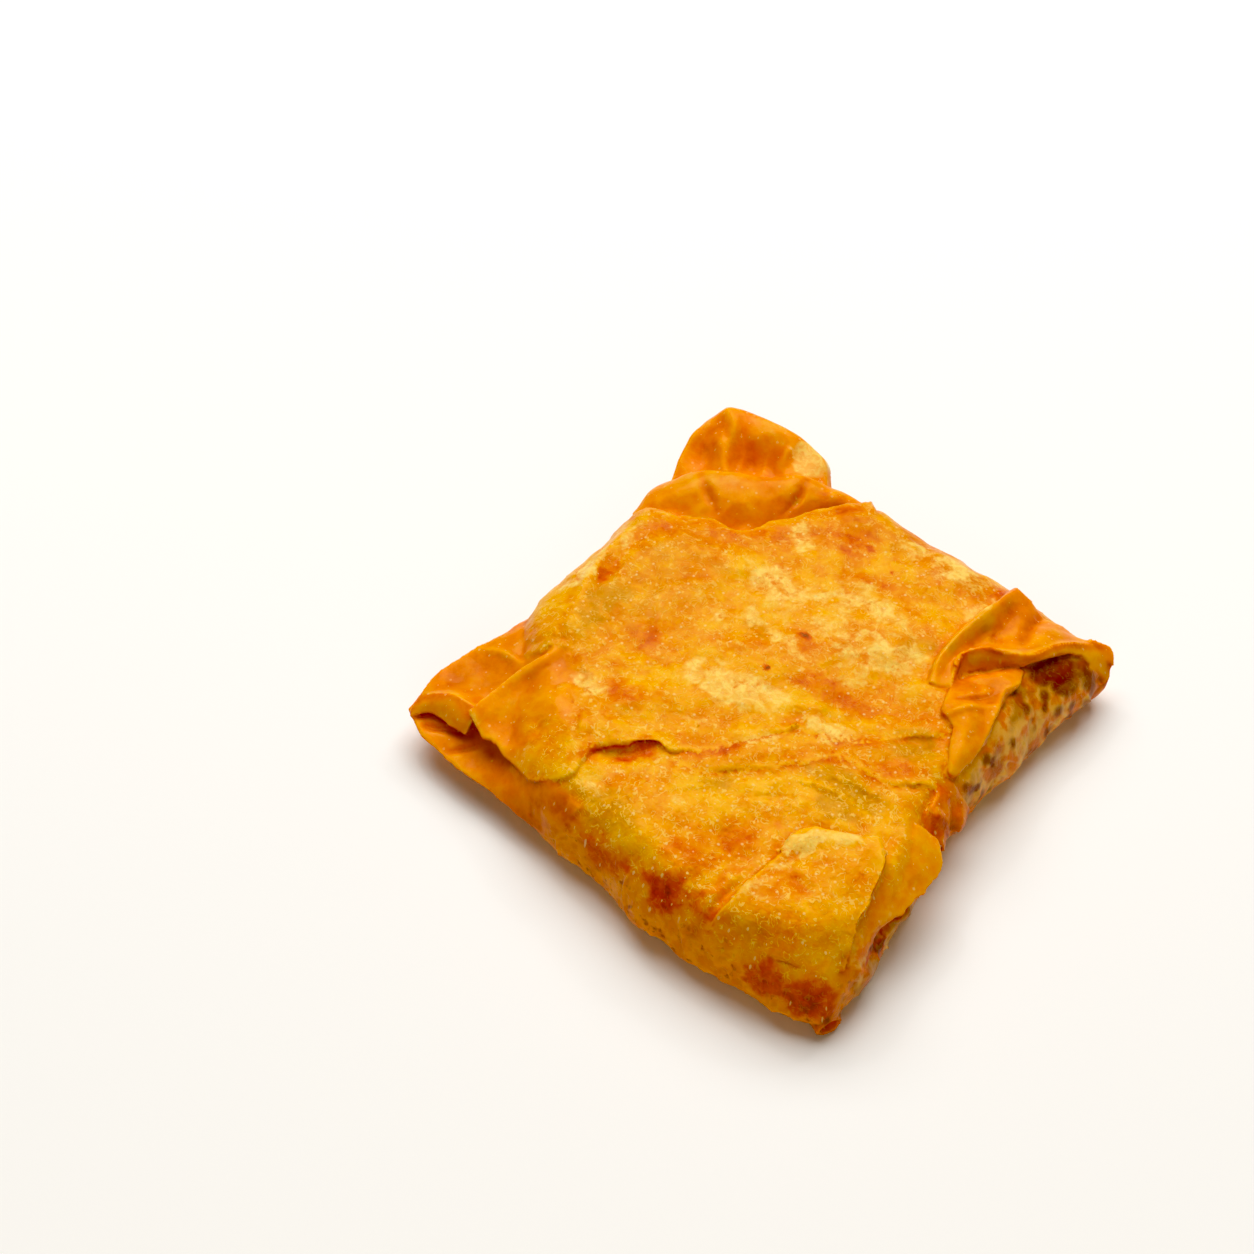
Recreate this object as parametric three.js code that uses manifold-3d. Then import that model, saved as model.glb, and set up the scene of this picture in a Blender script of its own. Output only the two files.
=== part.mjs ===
// A chicken martabak: a square parcel of thin wheat skin folded round a minced filling and fried.
// One solid holds the filled parcel, the loose layers that lie on it and the crisp ears at its corners.
// Millimetres, +Z up. X runs from the left corner to the front corner, Y from the front corner to the
// right corner, and the origin is the middle of the underside.

import * as THREE from "three";
import { mergeVertices } from "three/addons/utils/BufferGeometryUtils.js";
import Module from "manifold-3d";

// ---- driving sizes ------------------------------------------------------------------------------

const THICKNESS = 19.2; // of the filled middle
const CROWN = 1.2; // how much higher the middle swells than its edge
const HALF_WIDTH = 56; // from the middle to the outline
const FOOT_ROUND = 9; // how far in from the outline the underside meets the ground
const LUMP = 0.45; // swell of the minced filling under the skin
const SKIN = 1.3; // a loose layer of fried skin
const FINEST = 0.02; // detail smaller than this is smoothed away
const STEPS_PER_SPAN = 3; // facets between two points of the outline
const TOP_INSETS = [0.5, 1.7, 3.6, 6.2, 9.5, 14, 20, 28, 36, 44, 52]; // rings of facets, from the outline in
const FOOT_INSETS = [0.6, 2, 4.4, FOOT_ROUND];

// ---- the filled parcel ------------------------------------------------------------------------------

// The outline at its widest, anticlockwise from the left end of the front side: x, y, the height at
// which the side bulges furthest, and how far in from there the top edge has rounded over.
const OUTLINE = [
  [-14, -58, 6, 9],
  [1, -59.6, 6, 9],
  [16, -62, 6, 9],
  [33, -61.8, 5.5, 9],
  [48, -59.6, 5, 11],
  [57.5, -56.3, 4.5, 14],
  [59.2, -50, 5, 12],
  [57.8, -38, 6, 9],
  [56, -24, 6.5, 8],
  [51.6, -10, 6.5, 8],
  [51.2, 5, 6.5, 8],
  [52, 20, 6.5, 9],
  [52.4, 34, 6.5, 16],
  [54, 46, 7, 26],
  [50, 53, 8, 30],
  [38, 54.5, 8, 18],
  [22, 55, 8, 9],
  [5, 54.3, 8, 9],
  [-10, 53.8, 9, 8],
  [-17, 44, 10, 6],
  [-25, 31, 11, 7],
  [-38, 23.5, 11, 6],
  [-51, 20, 10, 7],
  [-53, 6, 8.5, 9],
  [-53, -9, 9, 10],
  [-50, -24, 9, 15],
  [-40, -39, 9, 20],
  [-27, -53, 7.5, 16],
];

const mix = (a, b, share) => a + (b - a) * share;

const vectors = (points) => points.map(([x, y, z]) => new THREE.Vector3(x, y, z));

// Stations round the outline. Each has its place, its angle from the middle and its top rounding.
function outlineStations() {
  const curve = new THREE.CatmullRomCurve3(vectors(OUTLINE), true, "catmullrom", 0.5);
  const stations = [];
  const spans = OUTLINE.length;
  for (let span = 0; span < spans; span++) {
    for (let step = 0; step < STEPS_PER_SPAN; step++) {
      const share = step / STEPS_PER_SPAN;
      const place = curve.getPoint((span + share) / spans);
      const round = mix(OUTLINE[span][3], OUTLINE[(span + 1) % spans][3], share);
      stations.push({ place, round, angle: Math.atan2(place.y, place.x) });
    }
  }
  return stations;
}

const STATIONS = outlineStations();

// A quarter-round rise from 0 at the outline to 1 at the inset `round`.
function roundOver(inset, round) {
  const short = 1 - Math.min(inset / round, 1);
  return Math.sqrt(1 - short * short);
}

// Lumps of filling under the skin, as slow waves across the parcel.
function lumps(x, y) {
  return (
    Math.sin(x / 6.1 + 0.8 * Math.sin(y / 9.3)) * Math.cos(y / 7.4 - 0.5) +
    0.7 * Math.sin((x + 1.6 * y) / 10.3 + 1.9) +
    0.5 * Math.cos((2.1 * x - y) / 11.7)
  );
}

function topHeight(inset, rim, round, x, y) {
  const middle = Math.min(inset / HALF_WIDTH, 1);
  const filled = THICKNESS + CROWN * Math.sin((Math.PI / 2) * middle) + LUMP * lumps(x, y);
  return mix(rim, filled, roundOver(inset, round));
}

const footHeight = (inset, rim) => rim * (1 - roundOver(inset, FOOT_ROUND));

// Height of the parcel's top at a plan position, found between the two nearest stations.
function topAt(x, y) {
  const angle = Math.atan2(y, x);
  const turn = (s) => (s.angle - angle + 4 * Math.PI) % (2 * Math.PI);
  const after = STATIONS.reduce((best, s) => (turn(s) < turn(best) ? s : best));
  const before = STATIONS[(STATIONS.indexOf(after) + STATIONS.length - 1) % STATIONS.length];
  const gap = turn(after) + 2 * Math.PI - turn(before);
  const share = 1 - turn(after) / gap;
  const edge = before.place.clone().lerp(after.place, share);
  const inset = HALF_WIDTH * Math.max(0, 1 - Math.hypot(x, y) / Math.hypot(edge.x, edge.y));
  return topHeight(inset, edge.z, mix(before.round, after.round, share), x, y);
}

function filledParcel() {
  const positions = [];
  const ring = (inset, height) => {
    const scale = 1 - inset / HALF_WIDTH;
    for (const { place, round } of STATIONS) {
      const [x, y] = [place.x * scale, place.y * scale];
      positions.push(x, y, height(inset, place.z, round, x, y));
    }
  };
  for (const inset of [...TOP_INSETS].reverse()) ring(inset, topHeight);
  ring(0, topHeight);
  for (const inset of FOOT_INSETS) ring(inset, footHeight);
  const rings = TOP_INSETS.length + 1 + FOOT_INSETS.length;
  const around = STATIONS.length;
  const index = [];
  for (let j = 0; j < rings - 1; j++) {
    for (let i = 0; i < around; i++) {
      const [a, b] = [j * around + i, j * around + ((i + 1) % around)];
      index.push(a, a + around, b + around, a, b + around, b);
    }
  }
  const crown = positions.length / 3;
  positions.push(0, 0, topHeight(HALF_WIDTH, 0, 1, 0, 0));
  positions.push(0, 0, 0);
  const last = (rings - 1) * around;
  for (let i = 0; i < around; i++) {
    const next = (i + 1) % around;
    index.push(crown, i, next);
    index.push(crown + 1, last + next, last + i);
  }
  return indexed(positions, index);
}

function indexed(positions, index) {
  const geometry = new THREE.BufferGeometry();
  geometry.setAttribute("position", new THREE.Float32BufferAttribute(positions, 3));
  geometry.setIndex(index);
  return geometry;
}

// ---- closed surfaces and solids ---------------------------------------------------------------------

// Joins two grids of (columns + 1) x (rows + 1) points, an upper and a lower one, into one closed mesh.
function closedSheet(positions, columns, rows) {
  const width = columns + 1;
  const layer = width * (rows + 1);
  const index = [];
  const quad = (a, b, c, d) => index.push(a, b, c, a, c, d);
  for (let j = 0; j < rows; j++) {
    for (let i = 0; i < columns; i++) {
      const a = j * width + i;
      quad(a, a + 1, a + width + 1, a + width);
      const b = a + layer;
      quad(b, b + width, b + width + 1, b + 1);
    }
  }
  const border = [];
  for (let i = 0; i < columns; i++) border.push(i);
  for (let j = 0; j < rows; j++) border.push(j * width + columns);
  for (let i = columns; i > 0; i--) border.push(rows * width + i);
  for (let j = rows; j > 0; j--) border.push(j * width);
  border.forEach((a, k) => {
    const b = border[(k + 1) % border.length];
    quad(a, a + layer, b + layer, b);
  });
  return indexed(positions, index);
}

const wasm = await Module();
wasm.setup();

function solidOf(geometry) {
  const merged = mergeVertices(geometry, 1e-3);
  const triangles = dropFlat(merged.index.array);
  const make = (triVerts) =>
    new wasm.Manifold(
      new wasm.Mesh({ numProp: 3, vertProperties: merged.attributes.position.array, triVerts }),
    );
  const solid = make(new Uint32Array(triangles));
  if (solid.volume() > 0) return solid;
  return make(new Uint32Array(triangles.reverse()));
}

// Triangles that lost a side when their points were merged are left out.
function dropFlat(index) {
  const kept = [];
  for (let i = 0; i < index.length; i += 3) {
    const [a, b, c] = [index[i], index[i + 1], index[i + 2]];
    if (a !== b && b !== c && c !== a) kept.push(a, b, c);
  }
  return kept;
}

// ---- loose layers of skin -----------------------------------------------------------------------------

// A rib is a smooth line across a layer. Its points are [x, y, z] for a free rib, [x, y, lift] over the
// parcel's top for one that lies on it, and [x, y, z] for a resting one, which never sinks into the top.
const REST_LIFT = 0.8;
const CLINGING = 0.1;
const free = (points) => points;
const over = (points) => points.map(([x, y, lift]) => [x, y, topAt(x, y) + lift]);
const resting = (points, lift = REST_LIFT) =>
  points.map(([x, y, z]) => [x, y, Math.max(z, topAt(x, y) + lift)]);

const curveThrough = (points) => new THREE.CatmullRomCurve3(vectors(points), false, "centripetal");

// A layer of skin stretched over ribs that lie one in front of the other, from its back to its front.
// Each rib runs from left to right for someone who looks at the layer from its front.
function skinLayer(ribs, columns, rows, thickness = SKIN) {
  const curves = ribs.map((rib) => curveThrough(rib));
  const across = [];
  for (let i = 0; i <= columns; i++) {
    across.push(curveThrough(curves.map((curve) => curve.getPointAt(i / columns).toArray())));
  }
  const clampTo = (value, most) => Math.min(Math.max(value, 0), most);
  const at = (i, j) => across[clampTo(i, columns)].getPoint(clampTo(j, rows) / rows);
  const positions = [];
  for (const depth of [0, thickness]) {
    for (let j = 0; j <= rows; j++) {
      for (let i = 0; i <= columns; i++) {
        const along = at(i + 1, j).sub(at(i - 1, j));
        const forward = at(i, j + 1).sub(at(i, j - 1));
        const down = along.cross(forward).normalize();
        positions.push(...at(i, j).addScaledVector(down, depth));
      }
    }
  }
  return closedSheet(positions, columns, rows);
}

// The upper skin's front edge lies across the parcel and curls up a little over the layer below it.
const UPPER_SEAM = [
  over([[-22, -34, -0.8], [-10, -24, -0.8], [4, -16, -0.8], [20, -4, -0.8], [38, 12, -0.8]]),
  over([[-19, -39, 0.7], [-9, -34, 0.8], [4, -24, 0.6], [18, -9, 0], [32, 3, 0.5], [40, 11, 0.6]]),
  over([
    [-14.5, -46.5, 0.6], [-12.5, -42.5, 0.8], [-8, -38, 1.5], [-5, -34.5, 2], [1, -32, 1.3], [7, -27, 0.9],
    [11, -19, 0.5], [17, -12, 0.3], [25, -8, 0.3], [31, -4.5, 0.4], [34, 0, 0.5], [41, 7.5, 0.5],
  ]),
];

// A second edge crosses the parcel in front of the first one.
const LOWER_SEAM = [
  over([[2, -22, -0.8], [16, -10, -0.8], [30, 2, -0.8], [44, 6, -0.8]]),
  over([[2, -29, 0.2], [14, -20, 0.3], [28, -7, 0.3], [44, 0, 0.3]]),
  over([
    [2.5, -34.5, 0.1], [7, -34, 0.3], [11.5, -29.5, 0.4], [17, -24.5, 0.4], [21.5, -19, 0.4], [26, -14, 0.4],
    [30, -11.5, 0.4], [35, -11.5, 0.4], [39, -10.5, 0.5], [44.5, -6.5, 0.6], [48, -4.5, 0.4],
  ]),
];

// Left ear: a pocket without filling. Its floor is the lower skin.
const LEFT_FLOOR = [
  free([[-51, -20, 9], [-38, -26, 8], [-22, -40, 6.5], [-8, -50, 6]]),
  resting([[-54.5, -34, 9.8], [-44, -38, 8.3], [-32, -45, 9], [-18, -51.5, 12], [-6, -54, 13]], CLINGING),
  resting([[-56.3, -44, 9.6], [-47, -48, 8.2], [-35, -51, 8.2], [-22, -54.5, 9], [-8, -57, 10]], CLINGING),
  free([[-56, -53, 8.8], [-50, -56, 8], [-40, -57.2, 7.5], [-27, -57.6, 6.8], [-14, -58.2, 6]]),
];

// The upper skin sinks behind the pocket's mouth.
const LEFT_CHEEK = [
  free([[-52, -18, 10.5], [-46, -18, 15.5], [-37, -22, 18]]),
  free([[-53, -29, 12.3], [-48, -28, 14], [-36, -31, 16.6]]),
  free([[-55.3, -37, 11.5], [-50, -36.5, 12], [-37, -38, 14.8]]),
  free([[-56.7, -43.5, 10.5], [-51, -43, 11.3], [-38, -44, 13.5]]),
  free([[-55.2, -50.8, 10.4], [-51, -48.3, 12.8], [-46.6, -46.7, 13.8], [-40.5, -47, 13.6]]),
];

// At the corner the cheek turns down into a short hem.
const LEFT_HEM = [
  free([[-55.2, -50.6, 10.4], [-51, -48.1, 12.8], [-46.6, -46.5, 13.8], [-40.5, -46.8, 13.7]]),
  free([[-54.9, -53.3, 9.6], [-50.6, -50.4, 12.1], [-45.6, -49.8, 12.7], [-40.6, -49.4, 12.9]]),
  free([[-53.9, -54.8, 8.8], [-49.9, -51.8, 10.4], [-44, -52, 10.4], [-40.5, -51.6, 10.6]]),
];

// A broad tongue of the upper skin lies over the mouth and ends in a free edge.
const LEFT_TONGUE = [
  over([[-37.5, -24, -0.4], [-30, -28, -0.3], [-20, -35, -0.3], [-11, -39, -0.3]]),
  resting([
    [-37.4, -29, 18.6], [-34, -32.5, 17.6], [-28, -37.5, 17.6], [-20, -42, 18.6], [-12.8, -43.5, 19.4],
  ]),
  resting([
    [-39.8, -34.7, 17.4], [-36, -37.5, 15.9], [-30.5, -42.5, 15], [-23, -46, 16.4], [-17, -47.5, 18],
    [-12.4, -47, 19],
  ]),
  resting([
    [-40.8, -41, 16.4], [-36.5, -43.5, 14.9], [-31, -47, 14.2], [-24.5, -49.5, 14.6], [-17.5, -51, 17],
    [-12, -50.3, 18.4],
  ]),
  resting([
    [-41.9, -49.2, 14.8], [-39.5, -50, 14.1], [-36.8, -51.3, 13.4], [-33.4, -50.9, 13.6], [-29.5, -52, 13.2],
    [-25.8, -52.3, 13.2], [-21.4, -53.6, 12.8], [-17.5, -53.4, 14.8], [-13.6, -52.2, 16.6],
  ]),
];

// Right ear: a hood of loose skin over the corner, ridged on the left and hollow behind its lip.
const HOOD_EDGE = free([
  [34.2, 17.6, 20.8], [31.8, 24.6, 22.6], [34.5, 29.6, 23], [39, 31.9, 22.4], [42.6, 35, 21.4],
  [44.5, 42.6, 19.4], [46.3, 47, 17.6], [48.3, 51.5, 14.5], [49.6, 55, 12.2], [51.6, 55, 10.8],
  [53.4, 53, 9.4],
]);

const RIGHT_HOOD = [
  free([
    [29.5, 15.5, 20], [27.6, 21, 20], [26.9, 30, 19.4], [27, 38, 18.8], [27, 46, 17.2], [26, 52.6, 14.5],
  ]),
  free([
    [30.3, 15.3, 21], [28.4, 21, 22.2], [27.8, 30, 22.4], [28.2, 38, 22], [28.4, 46, 20.6], [28.3, 52, 18.2],
  ]),
  free([
    [32.6, 16.2, 20.8], [30.6, 22.5, 21], [31.4, 31, 20], [32.6, 38, 19.4], [32.6, 46, 18.6],
    [32.4, 51.6, 16.6],
  ]),
  free([
    [34, 17.4, 20.8], [31.8, 24.2, 21.6], [34.4, 31.5, 20.4], [37.4, 38, 19.2], [37, 45, 17.4],
    [36.4, 50.6, 15],
  ]),
  free([
    [34.1, 17.6, 20.8], [31.8, 24.4, 22.2], [34.6, 30.5, 21.8], [39.4, 35.2, 20.6], [41, 42, 19.4],
    [40.6, 50.8, 15.6],
  ]),
  HOOD_EDGE,
];

// The hood's front edge folds over and hangs down as a lip.
const RIGHT_LIP = [
  HOOD_EDGE,
  free([
    [34.6, 18.5, 20], [33, 24, 21.2], [36, 28, 21.6], [40.5, 31.3, 21], [43.7, 35.6, 19.8],
    [45.7, 42, 18.2], [47.6, 46.6, 16.2], [50, 51, 13.4], [51.6, 53.4, 11.4], [53.6, 52.4, 9.2],
  ]),
  free([
    [34.6, 19.5, 19], [34.2, 22, 19.8], [35.7, 24.9, 19.6], [38.6, 28.3, 19.4], [42, 32.9, 18.7],
    [44.3, 38.5, 18.2], [46.5, 43.2, 17], [48.9, 46.7, 15.2], [52.2, 48.4, 11.1], [54.6, 50.4, 7],
  ]),
];

// The hood ends in a rounded tab that comes down to the ground.
const RIGHT_CORNER = [
  free([[48.6, 53.2, 12], [50, 54, 8], [48.6, 52.8, 2.5]]),
  free([[52.8, 53.2, 9.8], [53, 52.8, 6.8], [51.4, 51, 2.2]]),
  free([[54.6, 50.5, 7.2], [54.3, 50.4, 5.2], [52.9, 49.4, 2.6], [51.4, 48.4, 1]]),
  free([[53.4, 47.5, 7.8], [53.2, 47, 5.5], [52.2, 46.4, 2.6], [51, 46, 1]]),
];

// A torn strip hangs out from under the lip and over the side wall.
const RIGHT_STRIP = [
  free([[33.5, 24.4, 19.4], [37, 28.6, 19.6], [40, 31.4, 19.6], [43, 32.4, 18.4]]),
  over([[34.2, 20.4, 0.3], [38, 24.4, 1], [41.8, 28, 1.8], [44.7, 28, 2.4]]),
  over([[34.6, 16.8, 1], [38.2, 20.6, 1.2], [42, 23, 1.1], [43.8, 23.6, 1.9]]),
  over([[35.8, 13.4, 1.5], [39.6, 17, 2], [43.2, 19.6, 1.5], [45.9, 18.2, 2.6]]),
  over([[36.9, 10.2, 1.3], [40.4, 13.4, 2.1], [44.2, 15.4, 1.4], [47, 14.2, 2.6]]),
  over([[40.4, 8.8, 1.2], [43.2, 10.4, 2], [45.8, 10.8, 1.7], [48, 10.2, 2.6]]),
  over([[42.8, 4.6, 1.1], [45.2, 5.8, 1.8], [48.3, 6.6, 2.2]]),
  over([[46.2, -0.4, 0.8], [46.9, -0.8, 1.2], [47.8, -0.4, 1.4]]),
];

// Front corner: one folded flap lies on top and a second one stands out from the side wall.
const FRONT_FLAP = [
  over([[32.8, -37.6, 1.1], [36.6, -32.1, 1.3], [41.2, -27.7, 1.6], [46, -24.2, 2.3]]),
  over([[32.1, -44, 1.1], [38, -38, 1.4], [44.5, -32, 1.8], [50.6, -28.6, 2.8]]),
  over([[31.7, -50, 1], [39, -46, 1.4], [46, -41, 1.8], [53.1, -36.6, 3]]),
  over([[31.4, -55.5, 0.8], [40, -53, 1.1], [47.5, -49, 1.6], [54.9, -43.4, 2.8]]),
  over([[31, -59, 0], [40, -57.6, 0.1], [49.5, -54.8, 0.4], [57.3, -49.4, 1.4]]),
];

// The flap's top edge is rolled back on itself. This layer's front is at the upper left.
const FRONT_FOLD_OVER = [
  over([[46, -28, 1.8], [41.6, -33, 1.2], [39, -37, 0.9], [36.6, -41, 0.8]]),
  over([[43.4, -27.2, 2.3], [40, -29.4, 2.1], [36.8, -31.6, 1.9], [34.4, -34.6, 1.7], [33, -38.6, 1.5]]),
  over([[42, -26.2, 1.5], [38, -28.2, 1.4], [34.4, -29.8, 1.3], [32, -33.4, 1], [31.6, -38.2, 0.8]]),
];

const SIDE_FLAP = [
  free([[53.8, -45, 14.6], [50.5, -36, 17.6], [48, -28, 18], [44, -20, 18.6]]),
  free([[54.6, -45.3, 14.4], [54.2, -37, 16], [54.2, -28, 16.2], [52, -19.5, 17], [48.8, -14.4, 18.2]]),
  free([
    [55, -45, 12.8], [56.4, -37, 13.6], [57.8, -28.5, 13.2], [58.2, -22, 13], [57, -17, 13.6],
    [54, -12.6, 14.8],
  ]),
];

// The roll of skin at the front corner ends in a small open tip. Each of its ribs goes once round it.
const tipRing = ([x, y, z], halfWidth, halfHeight) => {
  const turns = [-1, -0.75, -0.5, -0.25, 0, 0.25, 0.5, 0.75, 0.98].map((share) => Math.PI * share);
  const [sideX, sideY] = [-0.43, -0.9];
  return turns.map((turn) => {
    const side = halfWidth * Math.sin(turn + Math.PI);
    return [x + side * sideX, y + side * sideY, z + halfHeight * Math.cos(turn)];
  });
};

const FRONT_TIP = [
  tipRing([52.5, -51.2, 3.9], 3.4, 2.4),
  tipRing([56.3, -53.6, 3], 3.4, 2.2),
  tipRing([58.4, -55.1, 2.5], 2.9, 1.9),
];

// The upper skin ends at the back in a loose edge.
const BACK_EDGE = [
  over([[-3, 46, -0.8], [-13, 33, -0.8], [-24, 18, -0.8], [-42, 10, -0.8]]),
  over([[-8, 49.5, 0.5], [-18, 37, 0.6], [-25, 25.5, 0.6], [-34, 21.5, 0.5], [-46, 16.5, 0.2]]),
  free([
    [-11, 52.4, 17.4], [-15, 48, 18.2], [-18.8, 42, 18.4], [-22, 37, 18.8], [-24.8, 32, 19.2],
    [-25.6, 28, 19.4], [-28.5, 25.4, 19.4], [-35.5, 25, 18.8], [-40, 23.4, 18], [-45, 21, 16.4],
    [-50.5, 19.5, 13.6],
  ]),
];

// Back ear: two pleats of empty skin, one behind the other. Each swells and comes down again at its back.
const BACK_PLEAT = [
  free([
    [-55.4, 24, 9.6], [-55.4, 31, 11.4], [-49.6, 36.8, 14.6], [-43, 40, 15.6], [-36, 43.8, 15.8],
    [-30, 49.6, 15.4], [-23, 53, 13.4], [-15, 54, 10.5], [-7, 54.6, 8],
  ]),
  free([
    [-54.9, 22, 11.4], [-54.3, 29.5, 13.6], [-48.1, 35.1, 17.2], [-42, 38.4, 18.4], [-34.6, 42.1, 18.6],
    [-28.3, 48.3, 18.2], [-22, 51.6, 16.6], [-14.5, 52.8, 15.2], [-7, 53.6, 13],
  ]),
  free([
    [-54.2, 19.5, 12], [-47, 29.6, 17.4], [-40, 33.4, 18.6], [-32.6, 37, 18.6], [-26, 44, 18.2],
    [-17, 49, 16.6], [-8, 52, 14],
  ]),
  free([
    [-52, 17.6, 12], [-45.6, 23.6, 15], [-37, 27.6, 15.8], [-28.6, 31.6, 15.8], [-22.6, 40, 15.6],
    [-13, 48, 14.6],
  ]),
  free([[-51, 16, 11.5], [-44, 17.5, 13], [-36, 20, 13], [-24, 24, 13], [-19, 34, 13], [-10, 46, 13]]),
];

const BACK_TIP = [
  free([
    [-53.8, 31.5, 9.6], [-57, 39.5, 11.4], [-58.4, 46.4, 13.2], [-57.6, 51.8, 15.2], [-56, 55.6, 16.8],
    [-52.6, 57.6, 17], [-43, 59.4, 16.8], [-38.6, 60.4, 16], [-33.4, 60.6, 14.4], [-28.6, 60.2, 13],
    [-24.4, 56, 12], [-22.6, 53.6, 11.6],
  ]),
  free([
    [-53.2, 30.6, 11.4], [-56, 38.8, 13.2], [-57.4, 46.2, 15.4], [-55.4, 52, 17.6], [-54.3, 54.5, 19],
    [-51.4, 55.8, 19.4], [-42, 57.2, 19.2], [-38, 58.2, 18.4], [-33.2, 58.8, 16.8], [-28.9, 58.6, 15.4],
    [-25.2, 55, 14.4], [-23.4, 52.6, 13.8],
  ]),
  free([
    [-52.6, 31.4, 11.6], [-54.4, 38.6, 13], [-55, 45.4, 14.8], [-53, 50.6, 17.4], [-51.4, 51.8, 18.4],
    [-48, 52.6, 18.6], [-41, 54, 18.4], [-36.6, 55, 17.6], [-32.2, 55.6, 16.2], [-28.6, 55.4, 15.4],
    [-25.4, 53, 14.4], [-23.6, 51.4, 13.8],
  ]),
  free([
    [-51.6, 31, 11.8], [-51.4, 38, 12.6], [-51, 43, 13.6], [-48.8, 46, 16.8], [-46, 46.8, 15.4],
    [-42.4, 48, 14.6], [-38, 49.4, 14.8], [-34.6, 50.4, 15.4], [-31, 51, 15.4], [-27, 51, 14.8],
    [-23, 50.4, 13.8],
  ]),
  free([[-51, 27, 12], [-46, 34, 13], [-40, 39.6, 13.4], [-35, 42.6, 13.8], [-30, 46, 14], [-21, 49, 13.6]]),
];

// Where the lower seam runs over the side the skin is bunched into a knot.
const SIDE_KNOT = [
  free([[50.4, -14.5, 15.6], [48.4, -10.5, 17.8], [47, -6, 18], [44.5, -2.6, 18.2]]),
  free([[52.6, -13, 14.4], [51, -9.4, 17.4], [50.2, -5.4, 15.8], [48, -1.4, 17.6]]),
  free([[54.2, -12, 11.8], [52.4, -8, 14.6], [52.8, -4.4, 12.8], [50.4, -0.4, 14.6]]),
  free([[53.4, -11.5, 8.8], [52.6, -7.4, 11], [52.8, -3.4, 9.4], [51.4, 0.4, 10.8]]),
];

// A layer that clings to the parcel is thick enough to reach down to it.
const SEAM_SKIN = 2;
const FLAP_SKIN = 2.8;
const TIP_SKIN = 0.9;

const layers = () => [
  skinLayer(UPPER_SEAM, 26, 3, SEAM_SKIN),
  skinLayer(LOWER_SEAM, 22, 3, SEAM_SKIN),
  skinLayer(LEFT_FLOOR, 10, 5),
  skinLayer(LEFT_CHEEK, 8, 7),
  skinLayer(LEFT_HEM, 10, 3),
  skinLayer(LEFT_TONGUE, 13, 8),
  skinLayer(RIGHT_HOOD, 13, 9),
  skinLayer(RIGHT_LIP, 18, 4),
  skinLayer(RIGHT_CORNER, 5, 5),
  skinLayer(RIGHT_STRIP, 7, 12, SEAM_SKIN),
  skinLayer(FRONT_FLAP, 9, 7, FLAP_SKIN),
  skinLayer(FRONT_FOLD_OVER, 8, 4, SEAM_SKIN),
  skinLayer(SIDE_FLAP, 12, 5),
  skinLayer(FRONT_TIP, 10, 4, TIP_SKIN),
  skinLayer(SIDE_KNOT, 8, 6),
  skinLayer(BACK_EDGE, 16, 3),
  skinLayer(BACK_PLEAT, 16, 8),
  skinLayer(BACK_TIP, 19, 7),
];

// ---- the part -----------------------------------------------------------------------------------------

// Joins the geometries, drops loose scraps and takes out facets too fine to see.
function fuse(geometries) {
  let whole = solidOf(geometries[0]);
  for (const geometry of geometries.slice(1)) whole = whole.add(solidOf(geometry));
  const pieces = whole.decompose();
  const largest = pieces.reduce((best, piece) => (piece.volume() > best.volume() ? piece : best));
  return largest.simplify(FINEST);
}

function geometryOf(solid) {
  const { numProp, vertProperties, triVerts } = solid.getMesh();
  const positions = [];
  for (let i = 0; i < vertProperties.length; i += numProp) {
    positions.push(vertProperties[i], vertProperties[i + 1], vertProperties[i + 2]);
  }
  const geometry = new THREE.BufferGeometry();
  geometry.setAttribute("position", new THREE.Float32BufferAttribute(positions, 3));
  geometry.setIndex(new THREE.BufferAttribute(triVerts, 1));
  return geometry;
}

// Moves the geometry so that the middle of its underside is the origin.
function standOnOrigin(geometry) {
  geometry.computeBoundingBox();
  const { min, max } = geometry.boundingBox;
  return geometry.translate(-(min.x + max.x) / 2, -(min.y + max.y) / 2, -min.z);
}

const friedSkin = new THREE.MeshStandardMaterial({ color: 0xe39a2b, roughness: 0.45, metalness: 0 });

const martabak = new THREE.Mesh(
  standOnOrigin(geometryOf(fuse([filledParcel(), ...layers()]))),
  friedSkin,
);
martabak.name = "martabak";

const part = new THREE.Group();
part.add(martabak);

export default part;
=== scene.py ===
"""A fried chicken martabak parcel, dressed for a render on a white table.

The parcel is rebuilt finer than its solid: a filled body and loose layers of fried skin are modelled in the
parcel's own plan, fused into one skin, wrinkled, and coloured by named spots and procedural mottling.
Plan coordinates are in millimetres. X runs from the left ear to the front corner and Y from the front
corner to the right ear.
"""

import itertools
import math

import bpy
import numpy as np
from mathutils import Euler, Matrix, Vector
from mathutils.kdtree import KDTree


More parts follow.
